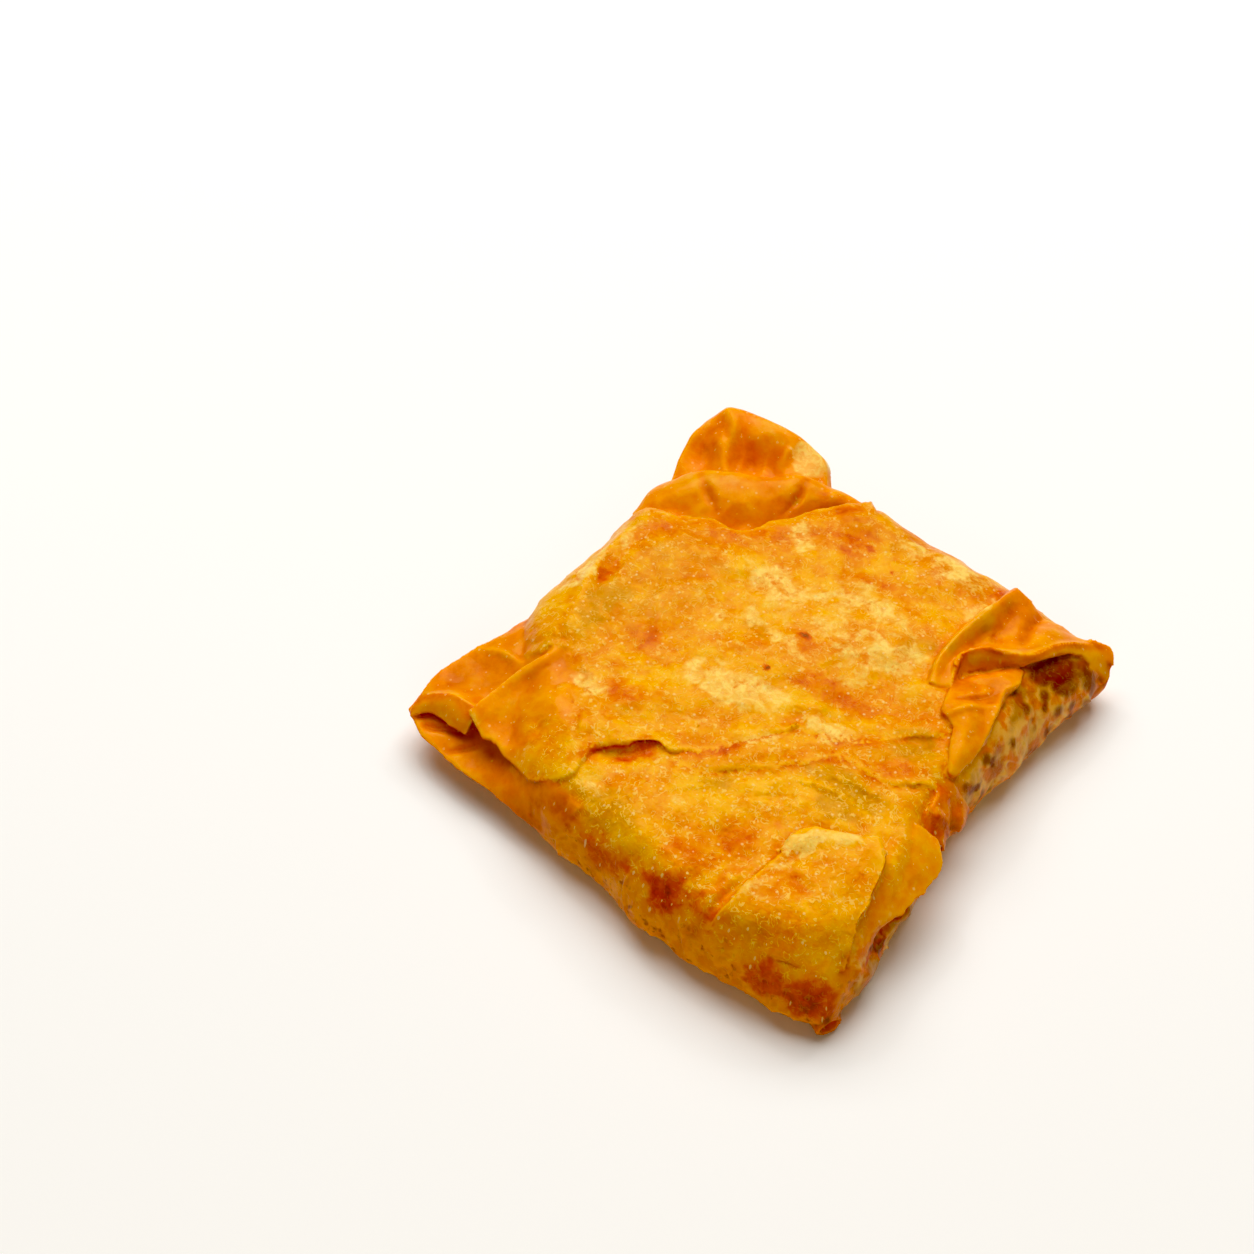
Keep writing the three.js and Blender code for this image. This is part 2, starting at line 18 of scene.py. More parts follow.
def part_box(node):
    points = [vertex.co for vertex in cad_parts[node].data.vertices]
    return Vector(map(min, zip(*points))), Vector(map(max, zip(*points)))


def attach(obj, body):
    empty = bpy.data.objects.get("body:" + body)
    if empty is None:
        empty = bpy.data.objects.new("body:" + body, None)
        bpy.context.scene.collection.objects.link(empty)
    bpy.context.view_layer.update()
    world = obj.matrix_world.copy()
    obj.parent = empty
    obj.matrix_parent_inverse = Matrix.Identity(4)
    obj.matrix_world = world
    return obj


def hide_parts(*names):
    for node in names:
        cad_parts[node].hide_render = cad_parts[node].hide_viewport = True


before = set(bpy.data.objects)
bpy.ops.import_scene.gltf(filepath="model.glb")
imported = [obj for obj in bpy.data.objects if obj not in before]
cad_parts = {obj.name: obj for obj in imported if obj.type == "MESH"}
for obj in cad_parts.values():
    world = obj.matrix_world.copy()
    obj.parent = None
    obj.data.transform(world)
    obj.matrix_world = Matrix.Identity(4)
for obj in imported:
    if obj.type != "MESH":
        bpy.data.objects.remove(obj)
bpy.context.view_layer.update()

# ---- sizes, in millimetres -----------------------------------------------------------------------

MM = 0.001
THICKNESS = 19.2  # of the filled middle
CROWN = 1.2  # how much higher the middle swells than its edge
HALF_WIDTH = 56.0  # from the middle to the outline
FOOT_ROUND = 9.0  # how far in from the outline the underside meets the table
LUMP = 0.45  # swell of the minced filling under the skin
SKIN = 0.85  # a loose layer of fried skin

# ---- how fine the mesh is ------------------------------------------------------------------------

REMESH = 0.36  # grain of the fused skin, in millimetres
TOP_RINGS = 61  # steps from the filled middle's centre to its outline
FOOT_RINGS = 9  # steps from the outline to the table
STEPS_PER_SPAN = 12  # places between two neighbours of the outline
LINE_STEPS_PER_SPAN = 16  # places between two neighbours of a smooth line
LAYER_COLUMNS, LAYER_ROWS = 90, 48  # faces across and along a loose layer
LOOK_COLUMNS, LOOK_ROWS = 60, 24  # the same, where only the layer's look is wanted
LEAST_GAP = 1e-6  # stands in for the gap between two points that coincide
LEAST_LENGTH = 1e-9  # keeps the length of a direction from being 0
MOST_TRIANGLES = 190_000

# ---- the camera, set from the photograph ---------------------------------------------------------

AZIMUTH = 40.0
ELEVATION = 49.0
FIELD_OF_VIEW = 30.0
DISTANCE = 526.7
AIM = (-39.6, 0.4, 0.0)

# ---- smooth lines and surfaces -------------------------------------------------------------------


def mix(a, b, share):
    return a + (b - a) * share


def smooth_step(value, low, high):
    t = np.clip((value - low) / (high - low), 0.0, 1.0)
    return t * t * (3.0 - 2.0 * t)


def spans_between(points, closed=False):
    """Runs of four neighbours, one run for each span of a smooth line."""
    p = np.asarray(points, float)
    if closed:
        p = np.concatenate([p[-1:], p, p[:2]])
    else:
        p = np.concatenate([2 * p[:1] - p[1:2], p, 2 * p[-1:] - p[-2:-1]])
    return [p[i : i + 4] for i in range(len(p) - 3)]


def on_span(run, share):
    """The place at a share of the way from run[1] to run[2], on a centripetal Catmull-Rom line."""
    knots = [0.0]
    for a, b in zip(run[:-1], run[1:]):
        gap = np.sqrt(np.maximum(np.linalg.norm(b - a, axis=-1), LEAST_GAP))
        knots.append(knots[-1] + gap[..., None])
    t = mix(knots[1], knots[2], share)

    def between(p, q, start, end):
        return (p * (end - t) + q * (t - start)) / (end - start)

    first = [between(run[i], run[i + 1], knots[i], knots[i + 1]) for i in range(3)]
    second = [between(first[i], first[i + 1], knots[i], knots[i + 2]) for i in range(2)]
    return between(second[0], second[1], knots[1], knots[2])


def smooth_line(points, count):
    """Evenly spaced places along a smooth line through the points."""
    shares = [k / LINE_STEPS_PER_SPAN for k in range(LINE_STEPS_PER_SPAN)]
    dense = [on_span(run, share) for run in spans_between(points) for share in shares]
    dense.append(np.asarray(points[-1], float))
    dense = np.array(dense)
    steps = np.linalg.norm(np.diff(dense, axis=0), axis=1)
    length = np.concatenate([[0.0], np.cumsum(steps)])
    wanted = np.linspace(0.0, length[-1], count)
    return np.stack([np.interp(wanted, length, dense[:, k]) for k in range(3)], axis=1)


# ---- repeatable random fields --------------------------------------------------------------------

# Large odd numbers that scatter the bits of a cell's place.
HASH_FACTORS = (374761393, 668265263, 1440662683)
HASH_SEED_FACTOR = 97531
HASH_MIXER = 1274126177


def cell_values(cells, seed):
    """A repeatable random number from -1 to 1 for each whole-numbered cell, by an integer hash."""
    mixed = cells @ np.array(HASH_FACTORS) + seed * HASH_SEED_FACTOR
    mixed = (mixed ^ (mixed >> 13)) * HASH_MIXER
    mixed = mixed ^ (mixed >> 16)
    return (mixed & 0xFFFF) / (0xFFFF / 2) - 1.0


def tilted(points, seed):
    """The points on axes turned by the seed, so that no two fields share a lattice."""
    turn = Euler((0.7 * seed, 1.3 * seed, 2.1 * seed)).to_matrix()
    return points @ np.array(turn)


def noise(points, size, seed):
    """Smooth random values, about -1 to 1, that change over `size` millimetres."""
    place = tilted(points, seed) / size
    cells = np.floor(place).astype(np.int64)
    within = place - cells
    within = within**3 * (within * (within * 6.0 - 15.0) + 10.0)
    total = np.zeros(len(points))
    for corner in itertools.product((0, 1), repeat=3):
        share = np.prod(np.where(corner, within, 1.0 - within), axis=1)
        total += share * cell_values(cells + np.array(corner), seed)
    return 1.5 * total


def rough(points, size, seed, octaves=3, fall=0.5):
    """Noise with finer and weaker noise on it."""
    total = np.zeros(len(points))
    strength = 1.0
    for octave in range(octaves):
        total += strength * noise(points, size / 2**octave, seed + 17 * octave)
        strength *= fall
    return total


def creases(points, size, seed):
    """0 to 1, highest along thin wandering lines about `size` millimetres apart."""
    return np.clip(1.0 - 2.2 * np.abs(noise(points, size, seed)), 0.0, 1.0) ** 2


# ---- the filled parcel ---------------------------------------------------------------------------

# The outline at its widest, anticlockwise from the left end of the front side: x, y, the height at
# which the side bulges furthest, and how far in from there the top edge has rounded over.
OUTLINE = [
    (-14, -58, 6, 9),
    (1, -59.6, 6, 9),
    (16, -62, 6, 9),
    (33, -61.8, 5.5, 9),
    (48, -59.6, 5, 11),
    (57.5, -56.3, 4.5, 14),
    (59.2, -50, 5, 12),
    (57.8, -38, 6, 9),
    (56, -24, 6.5, 8),
    (51.6, -10, 6.5, 8),
    (51.2, 5, 6.5, 8),
    (52, 20, 6.5, 9),
    (52.4, 34, 6.5, 16),
    (54, 46, 7, 26),
    (50, 53, 8, 30),
    (38, 54.5, 8, 18),
    (22, 55, 8, 9),
    (5, 54.3, 8, 9),
    (-10, 53.8, 9, 8),
    (-17, 44, 10, 6),
    (-25, 31, 11, 7),
    (-38, 23.5, 11, 6),
    (-51, 20, 10, 7),
    (-53, 6, 8.5, 9),
    (-53, -9, 9, 10),
    (-50, -24, 9, 15),
    (-40, -39, 9, 20),
    (-27, -53, 7.5, 16),
]


def outline_stations():
    """Places round the outline as x, y, z, rounding."""
    table = np.asarray(OUTLINE, float)
    stations = []
    for i, run in enumerate(spans_between(table[:, :3], closed=True)):
        for step in range(STEPS_PER_SPAN):
            share = step / STEPS_PER_SPAN
            rounding = mix(table[i, 3], table[(i + 1) % len(table), 3], share)
            stations.append([*on_span(run, share), rounding])
    return np.array(stations)


STATIONS = outline_stations()
STATION_ANGLES = np.unwrap(np.arctan2(STATIONS[:, 1], STATIONS[:, 0]))


def round_over(inset, rounding):
    """A quarter-round rise from 0 at the outline to 1 at the inset `rounding`."""
    short = 1.0 - np.minimum(inset / rounding, 1.0)
    return np.sqrt(np.maximum(1.0 - short * short, 0.0))


def lumps(x, y):
    """Lumps of filling under the skin, as slow waves across the parcel."""
    return (
        np.sin(x / 6.1 + 0.8 * np.sin(y / 9.3)) * np.cos(y / 7.4 - 0.5)
        + 0.7 * np.sin((x + 1.6 * y) / 10.3 + 1.9)
        + 0.5 * np.cos((2.1 * x - y) / 11.7)
    )


def top_height(inset, rim, rounding, x, y):
    middle = np.minimum(inset / HALF_WIDTH, 1.0)
    filled = THICKNESS + CROWN * np.sin(math.pi / 2 * middle) + LUMP * lumps(x, y)
    return mix(rim, filled, round_over(inset, rounding))


def foot_height(inset, rim):
    return rim * (1.0 - round_over(inset, FOOT_ROUND))


def edge_towards(x, y):
    """The outline's x, y, z and rounding in the direction of (x, y)."""
    start = STATION_ANGLES[0]
    turn = np.mod(np.arctan2(y, x) - start, 2 * math.pi) + start
    angles = np.append(STATION_ANGLES, start + 2 * math.pi)
    table = np.vstack([STATIONS, STATIONS[:1]])
    return [np.interp(turn, angles, table[:, k]) for k in range(4)]


def inset_at(x, y):
    """How far (x, y) lies inside the outline."""
    edge_x, edge_y, _, _ = edge_towards(x, y)
    return HALF_WIDTH * np.maximum(1.0 - np.hypot(x, y) / np.hypot(edge_x, edge_y), 0.0)


def top_at(x, y):
    """Height of the parcel's top at a plan position."""
    _, _, rim, rounding = edge_towards(x, y)
    return top_height(inset_at(x, y), rim, rounding, x, y)


def grid_faces(columns, rows, offset=0, flip=False):
    """Quads of a grid of (columns + 1) x (rows + 1) points."""
    faces = []
    width = columns + 1
    for j in range(rows):
        for i in range(columns):
            a = offset + j * width + i
            quad = (a, a + 1, a + width + 1, a + width)
            faces.append(quad[::-1] if flip else quad)
    return faces


def filled_parcel():
    """Points and faces of the filled body, in rings that lie closer together near the outline."""
    insets = HALF_WIDTH * np.linspace(0.0, 1.0, TOP_RINGS)[1:-1] ** 1.6
    foot_insets = FOOT_ROUND * np.linspace(0.0, 1.0, FOOT_RINGS)[1:] ** 1.5
    x, y, rim, rounding = STATIONS.T
    rings = []
    for inset in insets[::-1]:
        scale = 1.0 - inset / HALF_WIDTH
        rings.append((x * scale, y * scale, top_height(inset, rim, rounding, x * scale, y * scale)))
    rings.append((x, y, rim))
    for inset in foot_insets:
        scale = 1.0 - inset / HALF_WIDTH
        rings.append((x * scale, y * scale, foot_height(inset, rim)))
    points = np.concatenate([np.stack(ring, axis=1) for ring in rings])
    around = len(x)
    faces = []
    for j in range(len(rings) - 1):
        for i in range(around):
            a = j * around + i
            b = j * around + (i + 1) % around
            faces.append((a, a + around, b + around, b))
    faces.append(tuple(range(around)))
    last = (len(rings) - 1) * around
    faces.append(tuple(range(last + around - 1, last - 1, -1)))
    return points, faces


# ---- loose layers of skin ------------------------------------------------------------------------

# A rib is a smooth line across a layer. Its points are (x, y, z) for a free rib, (x, y, lift) over the
# parcel's top for one that lies on it, and (x, y, z) for a resting one, which stays above the top.
REST_LIFT = 0.8  # how far above the top at the least
FLOOR_LIFT = 0.1  # the same for the floor of the left ear


def free(*points):
    return np.array(points, float)


def over(*points):
    p = np.array(points, float)
    p[:, 2] += top_at(p[:, 0], p[:, 1])
    return p


def resting(*points, lift=REST_LIFT):
    p = np.array(points, float)
    p[:, 2] = np.maximum(p[:, 2], top_at(p[:, 0], p[:, 1]) + lift)
    return p


def tip_ring(centre, half_width, half_height):
    """A rib that goes once round the small open tip at the front corner."""
    x, y, z = centre
    side_x, side_y = -0.43, -0.9  # across the tip, level
    turns = [math.pi * share for share in (-1, -0.75, -0.5, -0.25, 0, 0.25, 0.5, 0.75, 0.98)]
    ring = []
    for turn in turns:
        side = -half_width * math.sin(turn)
        ring.append((x + side * side_x, y + side * side_y, z + half_height * math.cos(turn)))
    return free(*ring)


HOOD_EDGE = free(
    (34.2, 17.6, 20.8), (31.8, 24.6, 22.6), (34.5, 29.6, 23), (39, 31.9, 22.4), (42.6, 35, 21.4),
    (44.5, 42.6, 19.4), (46.3, 47, 17.6), (48.3, 51.5, 14.5), (49.6, 55, 12.2), (51.6, 55, 10.8),
    (53.4, 53, 9.4),
)

# Each layer: its ribs from its back to its front, each from left to right for someone in front of it.
LAYERS = {
    "upper_seam": [
        over((-22, -34, -0.8), (-10, -24, -0.8), (4, -16, -0.8), (20, -4, -0.8), (38, 12, -0.8)),
        over((-19, -39, 0.7), (-9, -34, 0.8), (4, -24, 0.6), (18, -9, 0), (32, 3, 0.5), (40, 11, 0.6)),
        over(
            (-14.5, -46.5, 0.6), (-12.5, -42.5, 0.8), (-8, -38, 1.4), (-5, -34.5, 1.7), (1, -32, 1),
            (7, -27, 0.7), (11, -19, 0.4), (17, -12, 0.2), (25, -8, 0.2), (31, -4.5, 0.3), (34, 0, 0.4),
            (41, 7.5, 0.4),
        ),
    ],
    "lower_seam": [
        over((2, -22, -0.8), (16, -10, -0.8), (30, 2, -0.8), (44, 6, -0.8)),
        over((2, -29, 0.2), (14, -20, 0.3), (28, -7, 0.3), (44, 0, 0.3)),
        over(
            (2.5, -34.5, 0), (7, -34, 0.1), (11.5, -29.5, 0.25), (17, -24.5, 0.25), (21.5, -19, 0.25),
            (26, -14, 0.3), (30, -11.5, 0.3), (35, -11.5, 0.35), (39, -10.5, 0.4), (44.5, -6.5, 0.5),
            (48, -4.5, 0.4),
        ),
    ],
    "left_floor": [
        free((-51, -20, 9), (-38, -26, 8), (-22, -40, 6.5), (-8, -50, 6)),
        resting(
            (-54.5, -34, 9.8), (-44, -38, 8.3), (-32, -45, 9), (-18, -51.5, 12), (-6, -54, 13),
            lift=FLOOR_LIFT,
        ),
        resting(
            (-56.3, -44, 9.6), (-47, -48, 8.2), (-35, -51, 8.2), (-22, -54.5, 9), (-8, -57, 10),
            lift=FLOOR_LIFT,
        ),
        free((-56, -53, 8.8), (-50, -56, 8), (-40, -57.2, 7.5), (-27, -57.6, 6.8), (-14, -58.2, 6)),
    ],
    "left_cheek": [
        free((-52, -18, 10.5), (-46, -18, 15.5), (-37, -22, 18)),
        free((-53, -29, 12.3), (-48, -28, 14), (-36, -31, 16.6)),
        free((-55.3, -37, 11.5), (-50, -36.5, 12), (-37, -38, 14.8)),
        free((-56.7, -43.5, 10.5), (-51, -43, 11.3), (-38, -44, 13.5)),
        free((-55.2, -50.8, 10.4), (-51, -48.3, 12.8), (-46.6, -46.7, 13.8), (-40.5, -47, 13.6)),
    ],
    "left_hem": [
        free((-55.2, -50.6, 10.4), (-51, -48.1, 12.8), (-46.6, -46.5, 13.8), (-40.5, -46.8, 13.7)),
        free((-54.9, -53.3, 9.6), (-50.6, -50.4, 12.1), (-45.6, -49.8, 12.7), (-40.6, -49.4, 12.9)),
        free((-53.9, -54.8, 8.8), (-49.9, -51.8, 10.4), (-44, -52, 10.4), (-40.5, -51.6, 10.6)),
    ],
    "left_tongue": [
        over((-37.5, -24, -0.4), (-30, -28, -0.3), (-20, -35, -0.3), (-11, -39, -0.3)),
        resting(
            (-37.4, -29, 18.6), (-34, -32.5, 17.6), (-28, -37.5, 17.6), (-20, -42, 18.6),
            (-12.8, -43.5, 19.4),
        ),
        resting(
            (-39.8, -34.7, 17.4), (-36, -37.5, 15.9), (-30.5, -42.5, 15), (-23, -46, 16.4),
            (-17, -47.5, 18), (-12.4, -47, 19),
        ),
        resting(
            (-40.8, -41, 16.4), (-36.5, -43.5, 14.9), (-31, -47, 14.2), (-24.5, -49.5, 14.6),
            (-17.5, -51, 17), (-12, -50.3, 18.4),
        ),
        resting(
            (-41.9, -49.2, 14.8), (-39.5, -50, 14.1), (-36.8, -51.3, 13.4), (-33.4, -50.9, 13.6),
            (-29.5, -52, 13.2), (-25.8, -52.3, 13.2), (-21.4, -53.6, 12.8), (-17.5, -53.4, 14.8),
            (-13.6, -52.2, 16.6),
        ),
    ],
    "right_hood": [
        free(
            (29.5, 15.5, 20), (27.6, 21, 20), (26.9, 30, 19.4), (27, 38, 18.8), (27, 46, 17.2),
            (26, 52.6, 14.5),
        ),
        free(
            (30.3, 15.3, 21), (28.4, 21, 22.2), (27.8, 30, 22.4), (28.2, 38, 22), (28.4, 46, 20.6),
            (28.3, 52, 18.2),
        ),
        free(
            (32.6, 16.2, 20.8), (30.6, 22.5, 21), (31.4, 31, 20), (32.6, 38, 19.4), (32.6, 46, 18.6),
            (32.4, 51.6, 16.6),
        ),
        free(
            (34, 17.4, 20.8), (31.8, 24.2, 21.6), (34.4, 31.5, 20.4), (37.4, 38, 19.2), (37, 45, 17.4),
            (36.4, 50.6, 15),
        ),
        free(
            (34.1, 17.6, 20.8), (31.8, 24.4, 22.2), (34.6, 30.5, 21.8), (39.4, 35.2, 20.6), (41, 42, 19.4),
            (40.6, 50.8, 15.6),
        ),
        HOOD_EDGE,
    ],
    "right_lip": [
        HOOD_EDGE,
        free(
            (34.6, 18.5, 20), (33, 24, 21.2), (36, 28, 21.6), (40.5, 31.3, 21), (43.7, 35.6, 19.8),
            (45.7, 42, 18.2), (47.6, 46.6, 16.2), (50, 51, 13.4), (51.6, 53.4, 11.4), (53.6, 52.4, 9.2),
        ),
        free(
            (34.6, 19.5, 19), (34.2, 22, 19.8), (35.7, 24.9, 19.6), (38.6, 28.3, 19.4), (42, 32.9, 18.7),
            (44.3, 38.5, 18.2), (46.5, 43.2, 17), (48.9, 46.7, 15.2), (52.2, 48.4, 11.1), (54.6, 50.4, 7),
        ),
    ],
    "right_corner": [
        free((49, 53.4, 12.4), (50, 54, 8), (48.6, 52.8, 2.5)),
        free((52.8, 53.2, 9.8), (53, 52.8, 6.8), (51.4, 51, 2.2)),
        free((54.6, 50.5, 7.2), (54.3, 50.4, 5.2), (52.9, 49.4, 2.6), (51.4, 48.4, 1)),
        free((53.4, 47.5, 7.8), (53.2, 47, 5.5), (52.2, 46.4, 2.6), (51, 46, 1)),
    ],
    "right_strip": [
        free((33.5, 24.4, 19.4), (37, 28.6, 19.6), (40, 31.4, 19.6), (43, 32.4, 18.4)),
        over((34.2, 20.4, 0.3), (38, 24.4, 1), (41.8, 28, 1.8), (44.7, 28, 2.4)),
        over((34.6, 16.8, 1), (38.2, 20.6, 1.2), (42, 23, 1.1), (43.8, 23.6, 1.9)),
        over((35.8, 13.4, 1.5), (39.6, 17, 2), (43.2, 19.6, 1.5), (45.9, 18.2, 2.6)),
        over((36.9, 10.2, 1.3), (40.4, 13.4, 2.1), (44.2, 15.4, 1.4), (47, 14.2, 2.6)),
        over((40.4, 8.8, 1.2), (43.2, 10.4, 2), (45.8, 10.8, 1.7), (48, 10.2, 2.6)),
        over((42.8, 4.6, 1.1), (45.2, 5.8, 1.8), (48.3, 6.6, 2.2)),
        over((46.2, -0.4, 0.8), (46.9, -0.8, 1.2), (47.8, -0.4, 1.4)),
    ],
    "front_flap": [
        over((32.8, -37.6, 1.1), (36.6, -32.1, 1.3), (41.2, -27.7, 1.6), (46, -24.2, 2.3)),
        over((32.1, -44, 1.1), (38, -38, 1.4), (44.5, -32, 1.8), (50.6, -28.6, 2.8)),
        over((31.7, -50, 1), (39, -46, 1.4), (46, -41, 1.8), (53.1, -36.6, 3)),
        over((31.4, -55.5, 0.8), (40, -53, 1.1), (47.5, -49, 1.6), (54.9, -43.4, 2.8)),
        over((31, -59, 0), (40, -57.6, 0.1), (49.5, -54.8, 0.4), (57.3, -49.4, 1.4)),
    ],
    "front_fold_over": [
        over((46, -28, 1.8), (41.6, -33, 1.2), (39, -37, 0.9), (36.6, -41, 0.8)),
        over((43.4, -27.2, 2.3), (40, -29.4, 2.1), (36.8, -31.6, 1.9), (34.4, -34.6, 1.7), (33, -38.6, 1.5)),
        over((42, -26.2, 1.5), (38, -28.2, 1.4), (34.4, -29.8, 1.3), (32, -33.4, 1), (31.6, -38.2, 0.8)),
    ],
    "side_flap": [
        free((53.8, -45, 14.6), (50.5, -36, 17.6), (48, -28, 18), (44, -20, 18.6)),
        free((54.6, -45.3, 14.4), (54.2, -37, 16), (54.2, -28, 16.2), (52, -19.5, 17), (48.8, -14.4, 18.2)),
        free(
            (55, -45, 12.8), (56.4, -37, 13.6), (57.8, -28.5, 13.2), (58.2, -22, 13), (57, -17, 13.6),
            (54, -12.6, 14.8),
        ),
    ],
    "front_tip": [
        tip_ring((52.5, -51.2, 3.9), 3.4, 2.4),
        tip_ring((56.3, -53.6, 3), 3.4, 2.2),
        tip_ring((58.4, -55.1, 2.5), 2.9, 1.9),
    ],
    "side_knot": [
        free((50.4, -14.5, 15.6), (48.4, -10.5, 17.8), (47, -6, 18), (44.5, -2.6, 18.2)),
        free((52.6, -13, 14.4), (51, -9.4, 17.4), (50.2, -5.4, 15.8), (48, -1.4, 17.6)),
        free((54.2, -12, 11.8), (52.4, -8, 14.6), (52.8, -4.4, 12.8), (50.4, -0.4, 14.6)),
        free((53.4, -11.5, 8.8), (52.6, -7.4, 11), (52.8, -3.4, 9.4), (51.4, 0.4, 10.8)),
    ],
    "back_edge": [
        over((-3, 46, -0.6), (-13, 33, -0.6), (-24, 18, -0.6), (-42, 10, -0.6)),
        over((-8, 49.5, 0.5), (-18, 37, 0.6), (-25, 25.5, 0.6), (-34, 21.5, 0.5), (-46, 16.5, 0.2)),
        free(
            (-11.5, 52.8, 17.6), (-15, 48, 18.2), (-18.8, 42, 18.4), (-22, 37, 18.8), (-24.8, 32, 19.2),
            (-25.6, 28, 19.4), (-28.5, 25.4, 19.4), (-35.5, 25, 18.8), (-40, 23.4, 18), (-45, 21, 16.4),
            (-50.5, 19.5, 13.6),
        ),
    ],
    "back_pleat": [
        free(
            (-55.4, 24, 9.6), (-55.4, 31, 11.4), (-49.6, 36.8, 14.6), (-43, 40, 15.6), (-36, 43.8, 15.8),
            (-30, 49.6, 15.4), (-23, 53, 13.4), (-15, 54, 10.5), (-7, 54.6, 8),
        ),
        free(
            (-54.9, 22, 11.4), (-54.3, 29.5, 13.6), (-48.1, 35.1, 17.2), (-42, 38.4, 18.4),
            (-34.6, 42.1, 18.6), (-28.3, 48.3, 18.2), (-22, 51.6, 16.6), (-14.5, 52.8, 15.2), (-7, 53.6, 13),
        ),
        free(
            (-54.2, 19.5, 12), (-47, 29.6, 17.4), (-40, 33.4, 18.6), (-32.6, 37, 18.6), (-26, 44, 18.2),
            (-17, 49, 16.6), (-8, 52, 14),
        ),
        free(
            (-52, 17.6, 12), (-45.6, 23.6, 15), (-37, 27.6, 15.8), (-28.6, 31.6, 15.8), (-22.6, 40, 15.6),
            (-13, 48, 14.6),
        ),
        free((-51, 16, 11.5), (-44, 17.5, 13), (-36, 20, 13), (-24, 24, 13), (-19, 34, 13), (-10, 46, 13)),
    ],
    "back_tip": [
        free(
            (-53.8, 31.5, 9.6), (-57, 39.5, 11.4), (-58.4, 46.4, 13.2), (-57.6, 51.8, 15.2),
            (-56, 55.6, 16.8), (-52.6, 57.6, 17), (-43, 59.4, 16.8), (-38.6, 60.4, 16), (-33.4, 60.6, 14.4),
            (-28.6, 60.2, 13), (-24.4, 56, 12), (-22.6, 53.6, 11.6),
        ),
        free(
            (-53.2, 30.6, 11.4), (-56, 38.8, 13.2), (-57.4, 46.2, 15.4), (-55.4, 52, 17.6),
            (-54.3, 54.5, 19), (-51.4, 55.8, 19.4), (-42, 57.2, 19.2), (-38, 58.2, 18.4),
            (-33.2, 58.8, 16.8), (-28.9, 58.6, 15.4), (-25.2, 55, 14.4), (-23.4, 52.6, 13.8),
        ),
        free(
            (-52.6, 31.4, 11.6), (-54.4, 38.6, 13), (-55, 45.4, 14.8), (-53, 50.6, 17.4),
            (-51.4, 51.8, 18.4), (-48, 52.6, 18.6), (-41, 54, 18.4), (-36.6, 55, 17.6), (-32.2, 55.6, 16.2),
            (-28.6, 55.4, 15.4), (-25.4, 53, 14.4), (-23.6, 51.4, 13.8),
        ),
        free(
            (-51.6, 31, 11.8), (-51.4, 38, 12.6), (-51, 43, 13.6), (-48.8, 46, 16.8), (-46, 46.8, 15.4),
            (-42.4, 48, 14.6), (-38, 49.4, 14.8), (-34.6, 50.4, 15.4), (-31, 51, 15.4), (-27, 51, 14.8),
            (-23, 50.4, 13.8),
        ),
        free(
            (-51, 27, 12), (-46, 34, 13), (-40, 39.6, 13.4), (-35, 42.6, 13.8), (-30, 46, 14),
            (-21, 49, 13.6),
        ),
    ],
}

# How strongly each layer is crinkled, how ragged its free edge is and how thick it is, in millimetres.
# A layer that clings to the parcel reaches down to it.
FINISH = {
    "upper_seam": (0.2, 0.7, 1.4),
    "lower_seam": (0.18, 0.7, 1.6),
    "left_floor": (0.2, 0.2, SKIN),
    "left_cheek": (0.15, 0.0, SKIN),
    "left_hem": (0.15, 0.4, SKIN),
    "left_tongue": (0.15, 0.5, SKIN),
    "right_hood": (0.15, 0.0, SKIN),
    "right_lip": (0.15, 0.4, SKIN),
    "right_corner": (0.2, 0.2, SKIN),
    "right_strip": (0.25, 0.3, 1.8),
    "front_flap": (0.12, 0.2, 2.6),
    "front_fold_over": (0.1, 0.3, 1.6),
    "side_flap": (0.2, 0.6, SKIN),
    "front_tip": (0.15, 0.3, SKIN),
    "side_knot": (0.7, 0.6, SKIN),
    "back_edge": (0.2, 0.6, SKIN),
    "back_pleat": (0.22, 0.2, SKIN),
    "back_tip": (0.2, 0.2, SKIN),
}


def layer_surface(ribs, columns, rows):
    """The layer's upper surface as a (rows + 1, columns + 1, 3) array."""
    lines = [smooth_line(rib, columns + 1) for rib in ribs]
    runs = spans_between(lines)
    surface = []
    for j in range(rows + 1):
        place = j / rows * len(runs)
        span = min(int(place), len(runs) - 1)
        surface.append(on_span(runs[span], place - span))
    return np.array(surface)


def layer_normals(surface):
    """Unit normals that point up, out of the layer's upper side."""
    along = np.gradient(surface, axis=1)
    forward = np.gradient(surface, axis=0)
    normal = np.cross(forward, along)
    return normal / np.maximum(np.linalg.norm(normal, axis=2, keepdims=True), LEAST_LENGTH)


def crumpled(surface, name):
    """The surface with waves and small creases, and with its free edge made uneven."""
    crinkle, ragged, _ = FINISH[name]
    flat = surface.reshape(-1, 3)
    wave = 1.0 * noise(flat, 7.0, 3) + 0.55 * noise(flat, 3.4, 4) + 0.25 * noise(flat, 1.7, 5)
    surface = surface + crinkle * wave.reshape(surface.shape[:2] + (1,)) * layer_normals(surface)
    forward = np.gradient(surface, axis=0)
    forward /= np.maximum(np.linalg.norm(forward, axis=2, keepdims=True), LEAST_LENGTH)
    edge = surface[-1]
    tear = 0.6 * noise(edge, 4.0, 6) + 0.5 * noise(edge, 1.6, 7)
    near_edge = np.linspace(0.0, 1.0, len(surface))[:, None] ** 6
    return surface + (ragged * near_edge * tear)[..., None] * forward


